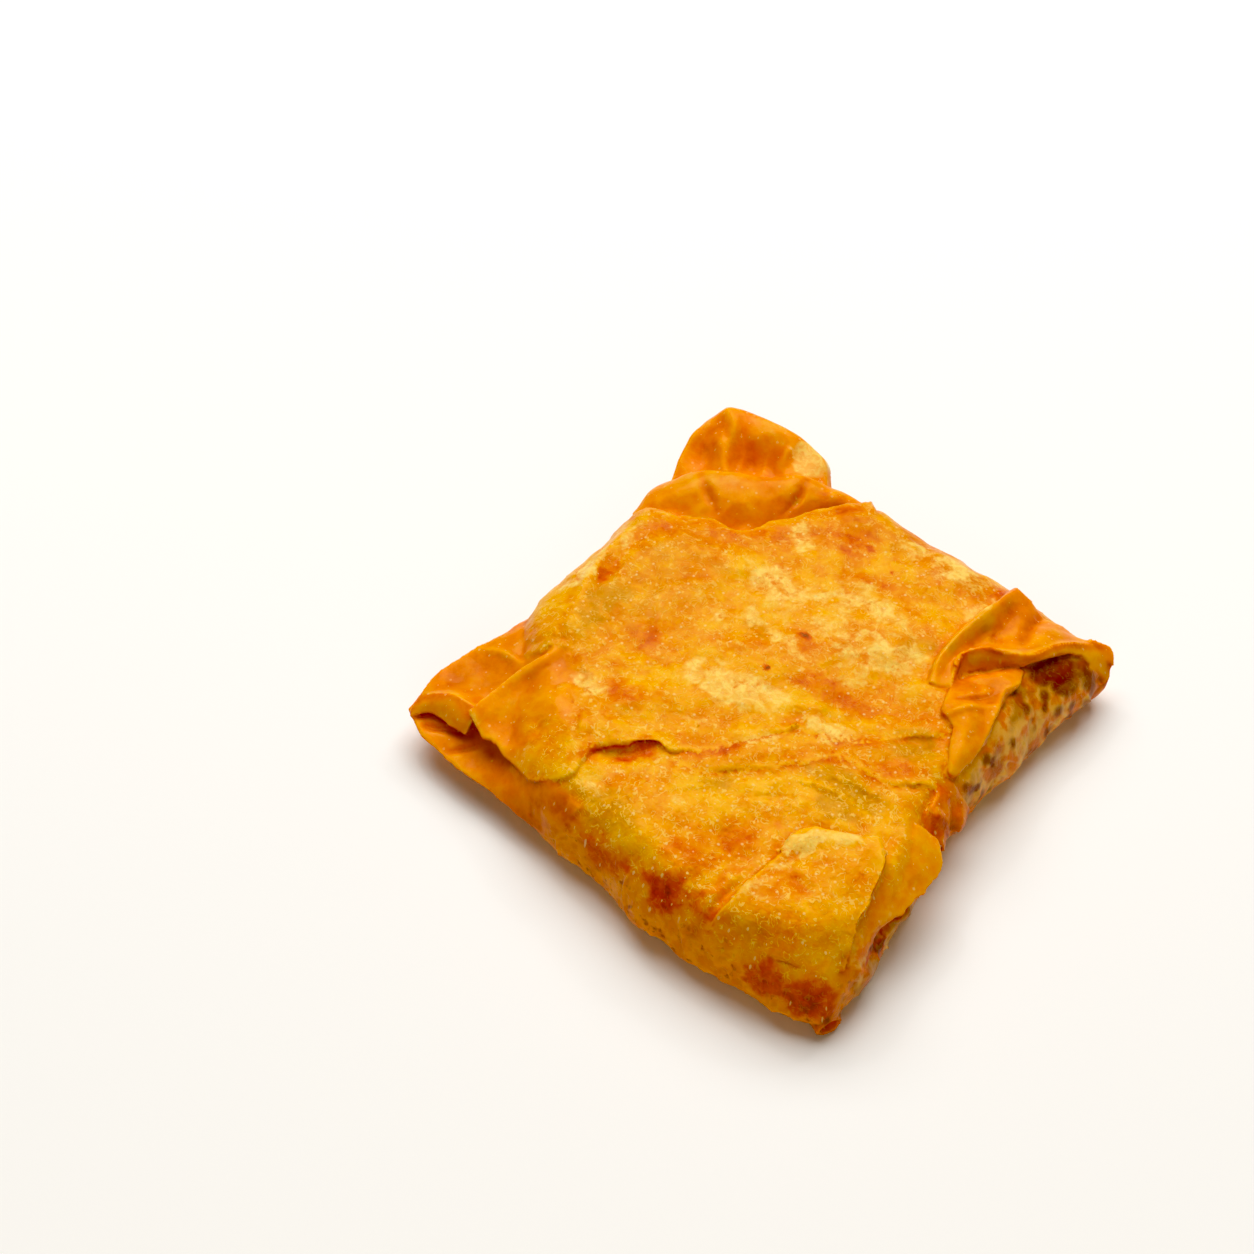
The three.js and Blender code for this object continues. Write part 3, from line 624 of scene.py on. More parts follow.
def skin_layer(name, columns=LAYER_COLUMNS, rows=LAYER_ROWS):
    """Points and faces of one closed layer of skin, its upper side on the layer's ribs."""
    upper = crumpled(layer_surface(LAYERS[name], columns, rows), name)
    lower = upper - FINISH[name][2] * layer_normals(upper)
    points = np.concatenate([upper.reshape(-1, 3), lower.reshape(-1, 3)])
    size = (columns + 1) * (rows + 1)
    faces = grid_faces(columns, rows, 0, flip=True) + grid_faces(columns, rows, size)
    width = columns + 1
    border = list(range(columns))
    border += [j * width + columns for j in range(rows)]
    border += [rows * width + i for i in range(columns, 0, -1)]
    border += [j * width for j in range(rows, 0, -1)]
    for a, b in zip(border, border[1:] + border[:1]):
        faces.append((a, b, b + size, a + size))
    return points, faces


# ---- fusing it into one skin ---------------------------------------------------------------------


def new_mesh_object(name, points, faces):
    mesh = bpy.data.meshes.new(name)
    mesh.from_pydata([tuple(p) for p in points], [], faces)
    mesh.update()
    obj = bpy.data.objects.new(name, mesh)
    bpy.context.scene.collection.objects.link(obj)
    return obj


def apply_modifiers(obj):
    """Replaces the object's mesh by its evaluated one."""
    depsgraph = bpy.context.evaluated_depsgraph_get()
    mesh = bpy.data.meshes.new_from_object(obj.evaluated_get(depsgraph), depsgraph=depsgraph)
    obj.modifiers.clear()
    old = obj.data
    obj.data = mesh
    bpy.data.meshes.remove(old)


def fused_skin():
    """Body and layers as one closed mesh, in metres."""
    points, faces = [], []
    count = 0
    for part_points, part_faces in [filled_parcel(), *(skin_layer(name) for name in LAYERS)]:
        points.append(part_points * MM)
        faces += [tuple(i + count for i in face) for face in part_faces]
        count += len(part_points)
    obj = new_mesh_object("martabak_skin", np.concatenate(points), faces)
    remesh = obj.modifiers.new("Fuse", "REMESH")
    remesh.mode = "VOXEL"
    remesh.voxel_size = REMESH * MM
    soften = obj.modifiers.new("Soften", "SMOOTH")
    soften.factor = 0.5
    soften.iterations = 3
    apply_modifiers(obj)
    return obj


# ---- what each place is made of ------------------------------------------------------------------

# How thin each layer's skin looks, and how deeply it is fried.
LOOKS = {
    "body": (0.0, 0.26),
    "upper_seam": (0.1, 0.3),
    "lower_seam": (0.25, 0.42),
    "left_floor": (0.9, 0.6),
    "left_cheek": (1.0, 0.58),
    "left_hem": (1.0, 0.56),
    "left_tongue": (0.9, 0.53),
    "right_hood": (1.0, 0.51),
    "right_lip": (1.0, 0.47),
    "right_corner": (1.0, 0.65),
    "right_strip": (0.8, 0.54),
    "front_flap": (0.15, 0.36),
    "front_fold_over": (0.1, 0.1),
    "side_flap": (0.8, 0.45),
    "front_tip": (0.6, 0.7),
    "side_knot": (0.5, 0.58),
    "back_edge": (0.3, 0.42),
    "back_pleat": (0.9, 0.56),
    "back_tip": (1.0, 0.55),
}


def kd_tree(places):
    tree = KDTree(len(places))
    for index, place in enumerate(places):
        tree.insert(place, index)
    tree.balance()
    return tree


OPEN_SIDED = ("front_flap",)  # layers whose free edges are their two sides
MELTING = ("left_tongue",)  # layers that melt into the body towards their right end
MELT_FROM, MELT_TO = 0.45, 0.95  # as shares of the way across such a layer
BODY_SAMPLE_STEP = 3  # every third point of the body is enough


def layer_samples():
    """Search trees of places on the body and the layers, and of places along the layers' free edges.

    With each place goes its look, which is thinness, frying and the layer's number (0 for the body),
    and with each place on an edge goes the number of its layer.
    """
    places = [filled_parcel()[0][::BODY_SAMPLE_STEP]]
    looks = [np.tile([*LOOKS["body"], 0.0], (len(places[0]), 1))]
    edges, owners = [], []
    for number, (name, ribs) in enumerate(LAYERS.items(), start=1):
        surface = crumpled(layer_surface(ribs, LOOK_COLUMNS, LOOK_ROWS), name)
        places.append(surface.reshape(-1, 3))
        look = np.tile([*LOOKS[name], float(number)], (*surface.shape[:2], 1))
        if name in MELTING:
            melted = smooth_step(np.linspace(0.0, 1.0, surface.shape[1]), MELT_FROM, MELT_TO)
            look[..., :2] = mix(look[..., :2], np.array(LOOKS["body"]), melted[None, :, None])
        looks.append(look.reshape(-1, 3))
        sides = np.concatenate([surface[:, 0], surface[:, -1]])
        edges.append(sides if name in OPEN_SIDED else surface[-1])
        owners.append(np.full(len(edges[-1]), number))
    looks, owners = np.concatenate(looks), np.concatenate(owners)
    return kd_tree(np.concatenate(places)), looks, kd_tree(np.concatenate(edges)), owners


def looks_at(points):
    """The look of the nearest layer at each point."""
    return SAMPLE_LOOKS[np.array([TO_LAYER.find(p)[1] for p in points])]


def edges_at(points):
    """For each point, how far the nearest free edge is, and the number of the layer that it ends."""
    found = [TO_EDGE.find(p) for p in points]
    gaps = np.array([gap for _, _, gap in found])
    return gaps, EDGE_OWNERS[np.array([index for _, index, _ in found])]


def thinness_by_cell(points, size=1.2):
    """Thinness of the nearest layer, looked up once for each small cell of space."""
    cell_of_place = np.floor(points / size).astype(np.int64)
    cells, cell_of_point = np.unique(cell_of_place, axis=0, return_inverse=True)
    return looks_at((cells + 0.5) * size)[:, 0][cell_of_point.reshape(-1)]


TO_LAYER, SAMPLE_LOOKS, TO_EDGE, EDGE_OWNERS = layer_samples()

# ---- relief --------------------------------------------------------------------------------------

# Folds, furrows and swells pressed into the fused skin: how far it moves in millimetres, how wide the
# mark is, which way it moves, and the line it follows.
DOWN, UP, INWARD = (0, 0, -1), (0, 0, 1), (-1, 0, 0)
PRESS_REACH = 3.0  # a mark ends this many times its width away from its line
TONE_REACH = 3.5  # and so does its tone
MARKS = [
    # left ear: tongue, cheek and pocket
    (1.0, 3.0, DOWN, [(-27, -41, 16), (-24, -46, 16)]),
    (0.5, 1.0, DOWN, [(-31, -36, 16.6), (-29, -43, 15), (-25, -49, 15)]),
    (0.7, 1.2, UP, [(-39.5, -37, 16), (-37, -31, 17.5), (-36, -25, 18.6)]),
    (0.6, 1.6, DOWN, [(-45, -20, 15.6), (-43, -30, 14.4)]),
    (0.6, 1.0, UP, [(-53, -33, 12), (-47, -31.5, 13.5), (-42, -32, 14.5)]),
    (0.7, 0.9, DOWN, [(-54, -50, 9), (-46, -50, 8)]),
    (0.8, 0.9, DOWN, [(-50, -54, 8), (-43, -50.5, 8)]),
    (0.7, 0.9, DOWN, [(-42, -56, 7.5), (-38, -50.5, 8)]),
    # right ear
    (0.9, 1.3, DOWN, [(36, 50.4, 15), (37, 44, 17.6), (38.4, 38, 19.4)]),
    (0.5, 2.2, DOWN, [(32, 45, 18.8), (33, 34, 19.8)]),
    (0.4, 0.7, DOWN, [(33.4, 23, 21), (36.6, 27.4, 21.4), (41, 30.6, 20.8)]),
    (1.2, 1.5, DOWN, [(34.4, 22, 19.4), (37.4, 27, 19), (40, 30, 18.6)]),
    (0.6, 0.8, DOWN, [(38, 14.6, 22), (41.4, 18.6, 22), (43, 23, 21)]),
    (0.5, 0.8, UP, [(38, 9.4, 22), (42, 15.4, 22.4), (44.6, 18.4, 21)]),
    # back ear
    (1.1, 1.4, UP, [(-54, 54, 18.6), (-50.4, 52, 18), (-47.4, 47.6, 16.6)]),
    (0.8, 3.0, DOWN, [(-53.4, 46, 15), (-50.4, 39, 14)]),
    (0.9, 3.0, DOWN, [(-43.6, 46.4, 15), (-38.6, 48.6, 15)]),
    (0.6, 1.0, UP, [(-36, 55.4, 17.6), (-35.4, 50, 15.6)]),
    (0.9, 1.0, DOWN, [(-26.6, 48, 18), (-25, 43, 17.8), (-25, 38, 17)]),
    (0.8, 2.2, UP, [(-21.6, 48, 17), (-17, 50, 16)]),
    (0.7, 1.2, DOWN, [(-46, 34.6, 18), (-42, 31.4, 18), (-38, 29.4, 16.6)]),
    # the seams and what shows beneath them
    (1.4, 2.2, DOWN, [(-12, -43.4, 19.6), (-8, -40, 20), (-3.4, -36.6, 20)]),
    (0.5, 1.2, UP, [(10, -9, 21), (22, -2, 21), (31, 1, 21)]),
    (0.9, 1.2, UP, [(-47.6, 10, 18), (-46, -2, 18.4), (-42, -12, 19), (-38.6, -20, 19)]),
    (0.7, 1.6, DOWN, [(-44, 8, 19.4), (-42.4, -3, 19.6), (-39, -12, 19.6)]),
    (0.6, 2.0, DOWN, [(38.6, -3.6, 20.4), (41, 2, 20)]),
    (0.6, 0.9, UP, [(29, -17.6, 20.8), (36, -15.4, 20.6), (44, -14.4, 20)]),
    (0.5, 0.9, UP, [(24, -22.6, 20.8), (32, -20.4, 20.6), (41, -19.6, 20)]),
    (0.5, 0.8, UP, [(7, -36, 20.8), (14, -31.4, 20.8), (22, -25, 20.8)]),
    (0.5, 0.9, DOWN, [(9, -38.6, 20.8), (17, -33, 20.8), (26, -26.6, 20.6)]),
    # front corner
    (1.0, 1.1, DOWN, [(31.4, -37, 20.6), (30.6, -48, 20), (29.6, -57, 17), (28.4, -61, 12)]),
    (0.8, 2.4, DOWN, [(37, -42, 20.4), (44, -44, 20)]),
    (2.4, 1.7, INWARD, [(55.6, -47, 9.6), (56.4, -38, 10.6), (56.4, -28, 10.6), (54.8, -18, 11)]),
    (1.0, 1.2, INWARD, [(57.6, -52, 7), (57.2, -46, 9)]),
    (0.8, 1.6, DOWN, [(48, -25, 19), (52, -32, 17.4), (54.4, -40, 15)]),
    # crumple on the right side, where the lower edge runs out
    (1.2, 1.2, INWARD, [(50.6, -4, 17), (53, -6.4, 12), (53.4, -9, 7)]),
    (1.0, 1.0, INWARD, [(51, -12.6, 17), (55, -14, 12)]),
    # right side, pleated from its top edge down to the table
    (0.9, 1.2, INWARD, [(50.4, 6, 15), (52.6, 3, 9), (51.6, 1, 3)]),
    (0.7, 1.2, INWARD, [(51, 15, 15), (52.8, 12, 9), (51.6, 9.4, 3)]),
    (0.8, 1.4, INWARD, [(51.4, 27, 15), (53, 23.4, 9), (51.6, 20.4, 3)]),
    (0.6, 1.2, INWARD, [(51.6, 38, 14), (53.4, 34, 9), (51.6, 31, 3)]),
]


def line_samples(points, step=0.4):
    """Places every `step` millimetres along a smooth line."""
    length = np.sum(np.linalg.norm(np.diff(np.array(points, float), axis=0), axis=1))
    return smooth_line(points, max(int(length / step), 2))


def distance_to_line(points, line):
    """Distance from each point to the line, and how far along the line it lies, 0 to 1."""
    nearest = np.full(len(points), np.inf)
    along = np.zeros(len(points))
    for index, place in enumerate(line):
        gap = np.linalg.norm(points - place, axis=1)
        closer = gap < nearest
        nearest[closer] = gap[closer]
        along[closer] = index / (len(line) - 1)
    return nearest, along


def press_marks(points):
    """Moves the points along every mark."""
    for depth, width, direction, route in MARKS:
        line = line_samples(route)
        reach = PRESS_REACH * width
        near = np.all((points > line.min(0) - reach) & (points < line.max(0) + reach), axis=1)
        distance, along = distance_to_line(points[near], line)
        taper = np.sin(math.pi * np.clip(0.12 + 0.76 * along, 0.0, 1.0))
        push = depth * taper * np.exp(-((distance / width) ** 2))
        points[near] += push[:, None] * np.array(direction, float)
    return points


def side_share(normals):
    """1 on the upright sides, 0 on the top."""
    return 1.0 - smooth_step(normals[:, 2], 0.25, 0.7)


def wrinkles(points, size, seed):
    """Creases that run down the upright sides on a slant."""
    slanted = points * np.array([1.0, 1.0, 0.35]) + points[:, 2:3] * np.array([0.0, 0.45, 0.0])
    return creases(slanted, size, seed)


def relief_height(points, normals, thin):
    """How far each point moves out along its normal. Loose skin is smoother than filled skin."""
    side = side_share(normals) * (1.0 - thin)
    filled = 1.0 - 0.75 * thin
    above_table = smooth_step(points[:, 2], 0.3, 5.0)
    swell = 0.4 * noise(points, 9.0, 21) + 0.2 * noise(points, 4.6, 22) + 0.08 * noise(points, 2.4, 23)
    grain = 0.03 * noise(points, 1.25, 24)
    pleats = 0.5 * (wrinkles(points, 6.0, 25) - 0.35) + 0.22 * (wrinkles(points, 2.6, 26) - 0.35)
    side_lumps = 0.3 * noise(points, 6.5, 27)
    return above_table * (filled * ((1.0 - 0.3 * side) * swell + grain) + side * (pleats + side_lumps))


def read_points(mesh):
    values = np.empty(len(mesh.vertices) * 3, np.float32)
    mesh.vertices.foreach_get("co", values)
    return values.reshape(-1, 3).astype(float)


def read_normals(mesh):
    values = np.empty(len(mesh.vertices) * 3, np.float32)
    mesh.vertices.foreach_get("normal", values)
    return values.reshape(-1, 3).astype(float)


def write_points(mesh, points):
    mesh.vertices.foreach_set("co", points.astype(np.float32).reshape(-1))
    mesh.update()


def soften_over_mesh(mesh, values, rounds):
    """Averages each point's value with its neighbours', so that layers melt into each other."""
    edges = np.empty(len(mesh.edges) * 2, np.int64)
    mesh.edges.foreach_get("vertices", edges)
    a, b = edges.reshape(-1, 2).T
    count = np.bincount(np.concatenate([a, b]), minlength=len(values)) + 1.0
    for _ in range(rounds):
        total = values + np.bincount(a, values[b], len(values)) + np.bincount(b, values[a], len(values))
        values = total / count
    return values


def raise_relief(obj):
    mesh = obj.data
    points = press_marks(read_points(mesh) / MM)
    write_points(mesh, points * MM)
    normals = read_normals(mesh)
    thin = soften_over_mesh(mesh, thinness_by_cell(points), 12)
    points += relief_height(points, normals, thin)[:, None] * normals
    points[:, 2] = np.maximum(points[:, 2], 0.0)
    write_points(mesh, points * MM)


def thin_out(obj):
    """Fewer triangles, no more than MOST_TRIANGLES of them. Fewer triangles, as many as
    the exported mesh may have.
    """
    obj.data.calc_loop_triangles()
    triangles = len(obj.data.loop_triangles)
    if triangles > MOST_TRIANGLES:
        fewer = obj.modifiers.new("Fewer", "DECIMATE")
        fewer.ratio = MOST_TRIANGLES / triangles
        apply_modifiers(obj)


# ---- where the skin is thin, browned, green or pale, and where light and shade are painted -------

# Spots: x, y, z, half length, half width, turn in degrees and strength.
SPOT_HALF_DEEP = 6.0  # how far a spot reaches up and down
SPOT_CORE, SPOT_RIM = 0.45, 1.25  # where its fading starts and ends, as shares of its half size
WANDER = 1.1  # how far the rim of a wide spot strays, in millimetres
WIDE_SPOT = 3.0  # the half width from which it strays in full
# Browned spots; a few of them are painted shade in hollows and along a crease.
FRIED_AND_SHADE_SPOTS = [
    # left and back part of the top
    (-33, -2, 20, 15, 30, 0, 0.18),
    (6, 47, 19, 36, 9, 0, 0.16),
    (-41, 8, 20, 6, 13, 0, 0.16),
    (-43, -3.8, 20, 2.6, 2.2, 0, 0.5),
    (-36.5, 5, 21, 3, 2.6, 0, 0.24),
    (-27, -11, 21, 7.5, 6, 0, 0.28),
    (-29, 0, 21, 5, 4, 0, 0.28),
    (-16.5, -27, 21, 6.5, 4.4, 0, 0.27),
    (-8, 37, 20.6, 6.5, 4.2, 0, 0.3),
    (-6, 36, 20.6, 2.2, 1, 30, 0.4),
    (-2.4, 39.4, 20.6, 1.6, 1.2, 0, 0.46),
    (-11, 45.5, 19.6, 5, 6, 0, 0.25),
    (-22, 28, 20, 3, 7, -20, 0.16),
    (5, 31.5, 21, 5, 2.6, 0, 0.28),
    (5.6, 36.4, 20.6, 0.7, 0.6, 0, 0.6),
    (18, 36, 21, 6, 2, 0, 0.1),
    # round the middle
    (2.6, 9, 21, 1.3, 1.1, 10, 1.2),
    # painted shade in the hollow between the right hood's ridge and its lobe
    (33.6, 41, 19, 2.4, 7, 0, 0.12),
    (5.6, 8, 21, 6, 3, 0, 0.13),
    (18, 0.4, 21, 12, 3.2, 4, 0.2),
    (11, -1.4, 21, 5.4, 1.6, 6, 0.27),
    (27, 0.6, 21, 5, 3, 0, 0.12),
    (15, -9.6, 21, 3, 7.6, -28, 0.16),
    # along the seams
    (2, -28, 20.6, 7, 2, 35, 0.12),
    (12.6, -23, 20.6, 10, 2, 40, 0.14),
    (26, -13, 20.6, 8, 2, 14, 0.1),
    # painted shade in the hollow under the upper seam's lip
    (-5.6, -37.6, 19.4, 5.2, 2.6, 48, 0.5),
    (-13, -44, 18.6, 2.6, 3, 0, 0.25),
    # front
    (24, -41, 20.5, 5.4, 6.5, 0, 0.3),
    # painted shade along the front flap's left crease
    (28.2, -50, 19, 1.6, 9, -4, 0.2),
    (24, -44, 20, 2, 1.6, 30, 0.24),
    (19, -52, 18.6, 6.5, 5, 20, 0.32),
    (18.6, -57.4, 15, 6.4, 5.2, 0, 0.6),
    (27.4, -56, 16, 2.6, 2.6, 0, 0.3),
    (4, -58, 14, 9, 3, 0, 0.29),
    (-12, -55, 13, 9, 2.6, 8, 0.2),
    (-2, -45, 19, 6, 2.4, 30, 0.16),
    (40, -23, 20.6, 3.4, 1.6, 10, 0.24),
    (51.4, -10.4, 16, 3, 2.4, 60, 0.3),
    (39, -45, 20, 4, 6, 0, 0.09),
    (53.4, -56.6, 10, 6.8, 5.8, -10, 0.55),
    (45, -59, 11, 5, 4, 0, 0.44),
    # back ear
    (-17, 47.4, 17.4, 5, 4, 20, 0.23),
    # crumbs
    (1.6, -3, 21.4, 1, 0.6, 30, 1.6),
    (20.6, -11, 21, 0.4, 0.4, 0, 0.6),
    (25, -9.4, 21, 0.4, 0.4, 0, 0.6),
    (16, -29, 21, 0.45, 0.4, 0, 0.7),
    (-24, -36, 17, 0.4, 0.4, 0, 0.5),
]
OLIVE_SPOTS = [
    (-33, 0, 20, 12, 26, 0, 0.3),
    (0, 47, 19, 34, 7, 0, 0.22),
    (-37, -12, 20, 5.4, 11, 8, 0.9),
    (-37, -25, 19, 3, 4, 0, 0.7),
    (-28.5, -29.5, 19, 4, 2.2, 0, 0.6),
    (-14, -31.5, 20.6, 4, 2, 20, 0.5),
    (38, 0, 20.4, 6.4, 5, 20, 0.95),
    (33, -17, 20.6, 11, 4.4, 8, 0.8),
    (34, -23, 20.6, 6, 3, 0, 0.8),
    (11, -33, 20.5, 6, 3, 35, 0.6),
    (1, -52, 18, 8, 5.4, 0, 0.6),
    (-9, -52, 18, 5, 3, 20, 0.6),
    (38, -54, 18, 7, 5, 0, 0.4),
    (-7, 4.6, 21, 5.6, 3, -30, 0.5),
    (23, 22, 21, 6, 3.6, 40, 0.5),
    (-26, 13, 20.6, 7, 3, 10, 0.4),
    (6, 27, 21, 6, 3, 0, 0.3),
]
PALE_SPOTS = [
    # back half
    (-16, 33, 19.6, 5, 4.6, 40, 0.8),
    (14, 46, 19.4, 13, 4, 0, 0.9),
    (26, 41, 19.4, 3, 7, 0, 0.7),
    (4, 13, 21.4, 27, 15, 8, 0.45),
    (-12, 18, 21.4, 10, 6, 0, 0.72),
    (8, 25, 21.4, 12, 5, 0, 0.76),
    (20, 16, 21, 10, 5, 30, 0.76),
    (-32, 16, 20, 6, 3, 0, 0.4),
    # front half
    (-2, -12, 21.4, 13, 5.6, 8, 0.8),
    (5, -8, 21.4, 7, 3, 10, 0.9),
    (-19, 3, 21.4, 7, 3, 0, 0.45),
    (-25, -30, 19.6, 5, 2.8, 0, 0.8),
    (-9, -49, 18, 5, 1.8, 40, 0.5),
    (8, -43, 20, 5, 2, 30, 0.5),
    (22.3, -8, 21, 7, 2.8, 12, 0.9),
    (-47, -6, 17.6, 1.8, 11, 0, 0.7),
    (-46.4, 9, 17.6, 1.8, 6, 0, 0.5),
    (12, -19, 21, 4.4, 1.6, 45, 0.6),
    (0, -23, 21, 5, 2.4, 20, 0.5),
    (35.4, -33.6, 20.6, 2.8, 5.4, -24, 1.5),
    (41, -28.6, 20.6, 4.4, 1.8, 30, 1.2),
    (34, -46, 20, 2.4, 8, 0, 0.4),
    (-30.4, 55.6, 15.6, 5.4, 5.6, 20, 1.3),
    (-40, -50, 13.6, 2.4, 2, 0, 0.6),
    # lighter places on the ears and the side flap
    (-25, -50, 14, 6, 2.6, 0, 0.4),
    (-46, -28, 14.6, 2.4, 7, 0, 0.36),
    (28.6, 28, 22, 1.4, 10, 0, 0.4),
    (35, 27, 21, 3, 3, 40, 0.5),
    (57.6, -36, 12, 2.4, 9, 0, 0.4),
    (40, 32, 22, 6, 1.6, 40, 0.4),
    (55.4, -31, 13, 2.4, 8, 0, 0.4),
    (-52, 42, 14, 3, 6, 0, 0.3),
    (-39, 50, 15.6, 6, 3, 0, 0.3),
    (-56, 48, 17, 1.6, 8, 0, 0.36),
    (-42, 55, 18, 10, 2, 4, 0.4),
    (-40, 36, 18, 9, 2.4, 30, 0.36),
]
# Painted shade in the gaps under loose edges, dark all the way in.
GAP_HALF_DEEP = 2.2
GAPS = [
    (55.4, -41, 9.6, 2.8, 7, -6, 0.8),
    (55.8, -30, 9.8, 2.4, 6, 0, 0.7),
]
# Painted shade where the right side is dark: under the lip, below the strip and behind the side flap.
WALL_SHADE = [
    (46, 38, 14, 10, 4.6, 66, 1.4),
    (51, 45, 11, 5, 4, 40, 1.2),
    (47, 25, 16, 2.4, 7, 10, 0.8),
    (50.6, 12, 13, 2.2, 4, 20, 0.7),
    (51, 3, 12, 2, 3, 0, 0.6),
    (52.6, 24, 10, 2, 5, 10, 0.4),
    (57.4, -43, 5, 3, 7, 0, 0.8),
    (56.6, -28, 6, 3, 8, 0, 0.7),
]
# Round browned spots on the right side, most of them near the knot.
WALL_DOT_HALF_DEEP = 2.0
WALL_DOTS = [
    (51, 11.4, 14, 1.9, 1.9, 0, 1),
    (52, 8.2, 10.6, 1.8, 1.8, 0, 0.9),
    (51.4, 4.6, 13.4, 2.4, 2.5, 0, 1),
    (52.6, 1.6, 9, 1.8, 2, 0, 0.9),
    (51.4, -1.6, 12, 2, 2, 0, 0.9),
    (52, 14.8, 12, 1.5, 1.5, 0, 0.8),
    (51, 18.6, 14.6, 1.4, 1.4, 0, 0.8),
    (52.6, 21, 10, 1.5, 1.6, 0, 0.7),
    (51, 25.4, 14, 1.6, 1.5, 0, 0.7),
    (52.8, 5.4, 7, 1.6, 1.6, 0, 0.8),
    (50.6, 31.4, 15, 1.5, 1.5, 0, 0.8),
    (52.8, 28, 10.4, 1.4, 1.5, 0, 0.6),
    (50.6, 37, 14, 1.6, 1.6, 0, 0.7),
    (52.6, 12.4, 7.4, 1.4, 1.5, 0, 0.7),
]
# The line where the top turns into the right side wall, and where that wall ends at the front.
WALL_TOP_Y = (-16, -4, 7, 14, 20, 28, 33, 39, 44, 50)
WALL_TOP_X = (54, 49.5, 48, 46.4, 44.6, 43.4, 42, 43.6, 45.6, 52)
WALL_FRONT_END = -48


def spots(points, table, half_deep=SPOT_HALF_DEEP):
    """The strongest of the table's soft-edged spots at each point."""
    wander = np.stack([rough(points, 3.4, seed, 3, 0.6) for seed in (41, 42, 43)], axis=1)
    strongest = np.zeros(len(points))
    for x, y, z, half_long, half_wide, turn, strength in table:
        away = points + WANDER * min(half_wide / WIDE_SPOT, 1.0) * wander - np.array([x, y, z])
        angle = math.radians(turn)
        long = (away[:, 0] * math.cos(angle) + away[:, 1] * math.sin(angle)) / half_long
        wide = (away[:, 1] * math.cos(angle) - away[:, 0] * math.sin(angle)) / half_wide
        deep = away[:, 2] / half_deep
        fade = 1.0 - smooth_step(np.sqrt(long**2 + wide**2 + deep**2), SPOT_CORE, SPOT_RIM)
        strongest = np.maximum(strongest, strength * fade)
    return strongest


def store(mesh, name, values):
    attribute = mesh.attributes.new(name, "FLOAT", "POINT")
    attribute.data.foreach_set("value", np.clip(values, 0.0, 1.0).astype(np.float32))


def hollowness(mesh, points, normals, rounds):
    """How far each point lies below the surface around it, in millimetres: folds above 0, ridges below."""
    around = np.stack([soften_over_mesh(mesh, points[:, axis], rounds) for axis in range(3)], axis=1)
    return np.sum((around - points) * normals, axis=1)


def fold_tone(points):
    """Painted shade along pressed folds, above 0, and painted highlight along raised ones, below 0."""
    tone = np.zeros(len(points))
    for depth, width, direction, route in MARKS:
        line = line_samples(route)
        reach = TONE_REACH * width
        near = np.all((points > line.min(0) - reach) & (points < line.max(0) + reach), axis=1)
        distance, _ = distance_to_line(points[near], line)
        sign = -1.0 if direction == UP else 1.0
        strength = min(depth, 1.0) * min(1.2 / width, 1.0)
        tone[near] += sign * strength * np.exp(-((distance / (1.3 * width)) ** 2))
    return tone


def side_masks(mesh, points, normals, looks, thin):
    """How far each point is on the browned lower sides, and on the right side wall."""
    body = soften_over_mesh(mesh, np.where(looks[:, 2] == 0, 1.0, 0.0), 1)
    past_top = points[:, 0] - np.interp(points[:, 1], WALL_TOP_Y, WALL_TOP_X)
    wall = body * smooth_step(past_top, -0.6, 0.8) * (points[:, 1] > WALL_FRONT_END)
    wall = soften_over_mesh(mesh, wall, 2)
    side = side_share(normals) * smooth_step(points[:, 2], 19.0, 15.0) * (1.0 - thin)
    return np.maximum(soften_over_mesh(mesh, side, 4), wall), wall


def fold_shade(mesh, points, normals, thin):
    """Painted shade in the folds, above 0, and painted highlight on the ridges, below 0."""
    narrow = hollowness(mesh, points, normals, 6)
    broad = hollowness(mesh, points, normals, 30)
    most = mix(0.07, 0.14, thin)
    return np.clip(0.6 * narrow + 0.06 * broad, -0.12, most) + 0.11 * fold_tone(points)


MOST_ADDED = 0.7  # frying above this adds up more slowly


def with_browning(fried, points, normals, thin, brown, folds, own_edge, edge_gap):
    """The layers' own frying plus spots, mottling and edge tone, and painted shade in folds and under edges.
    """
    # Painted shade on the skin just under another layer's free edge.
    painted_shade_under_lip = (1.0 - own_edge) * smooth_step(edge_gap, 2.6, 0.5)
    lip = own_edge * smooth_step(edge_gap, 2.0, 0.2)
    low = (1.0 - thin) * smooth_step(points[:, 2], 17.0, 8.0)
    mottle = 0.1 * noise(points, 9.0, 51) + 0.07 * rough(points, 4.2, 52, 3, 0.6)
    fried = fried + (
        brown + folds + mottle * (1.0 - 0.6 * thin) + 0.2 * painted_shade_under_lip - 0.05 * lip + 0.16 * low
    )
    # Painted shade, darker and redder, on faces of free edges that turn down away from the light.
    shaded_edge_face = smooth_step(edge_gap, 2.6, 0.8) * smooth_step(normals[:, 2], 0.6, 0.2)
    fried += mix(0.5, 0.3, thin) * shaded_edge_face
    return np.where(fried > MOST_ADDED, MOST_ADDED + 0.5 * (fried - MOST_ADDED), fried)


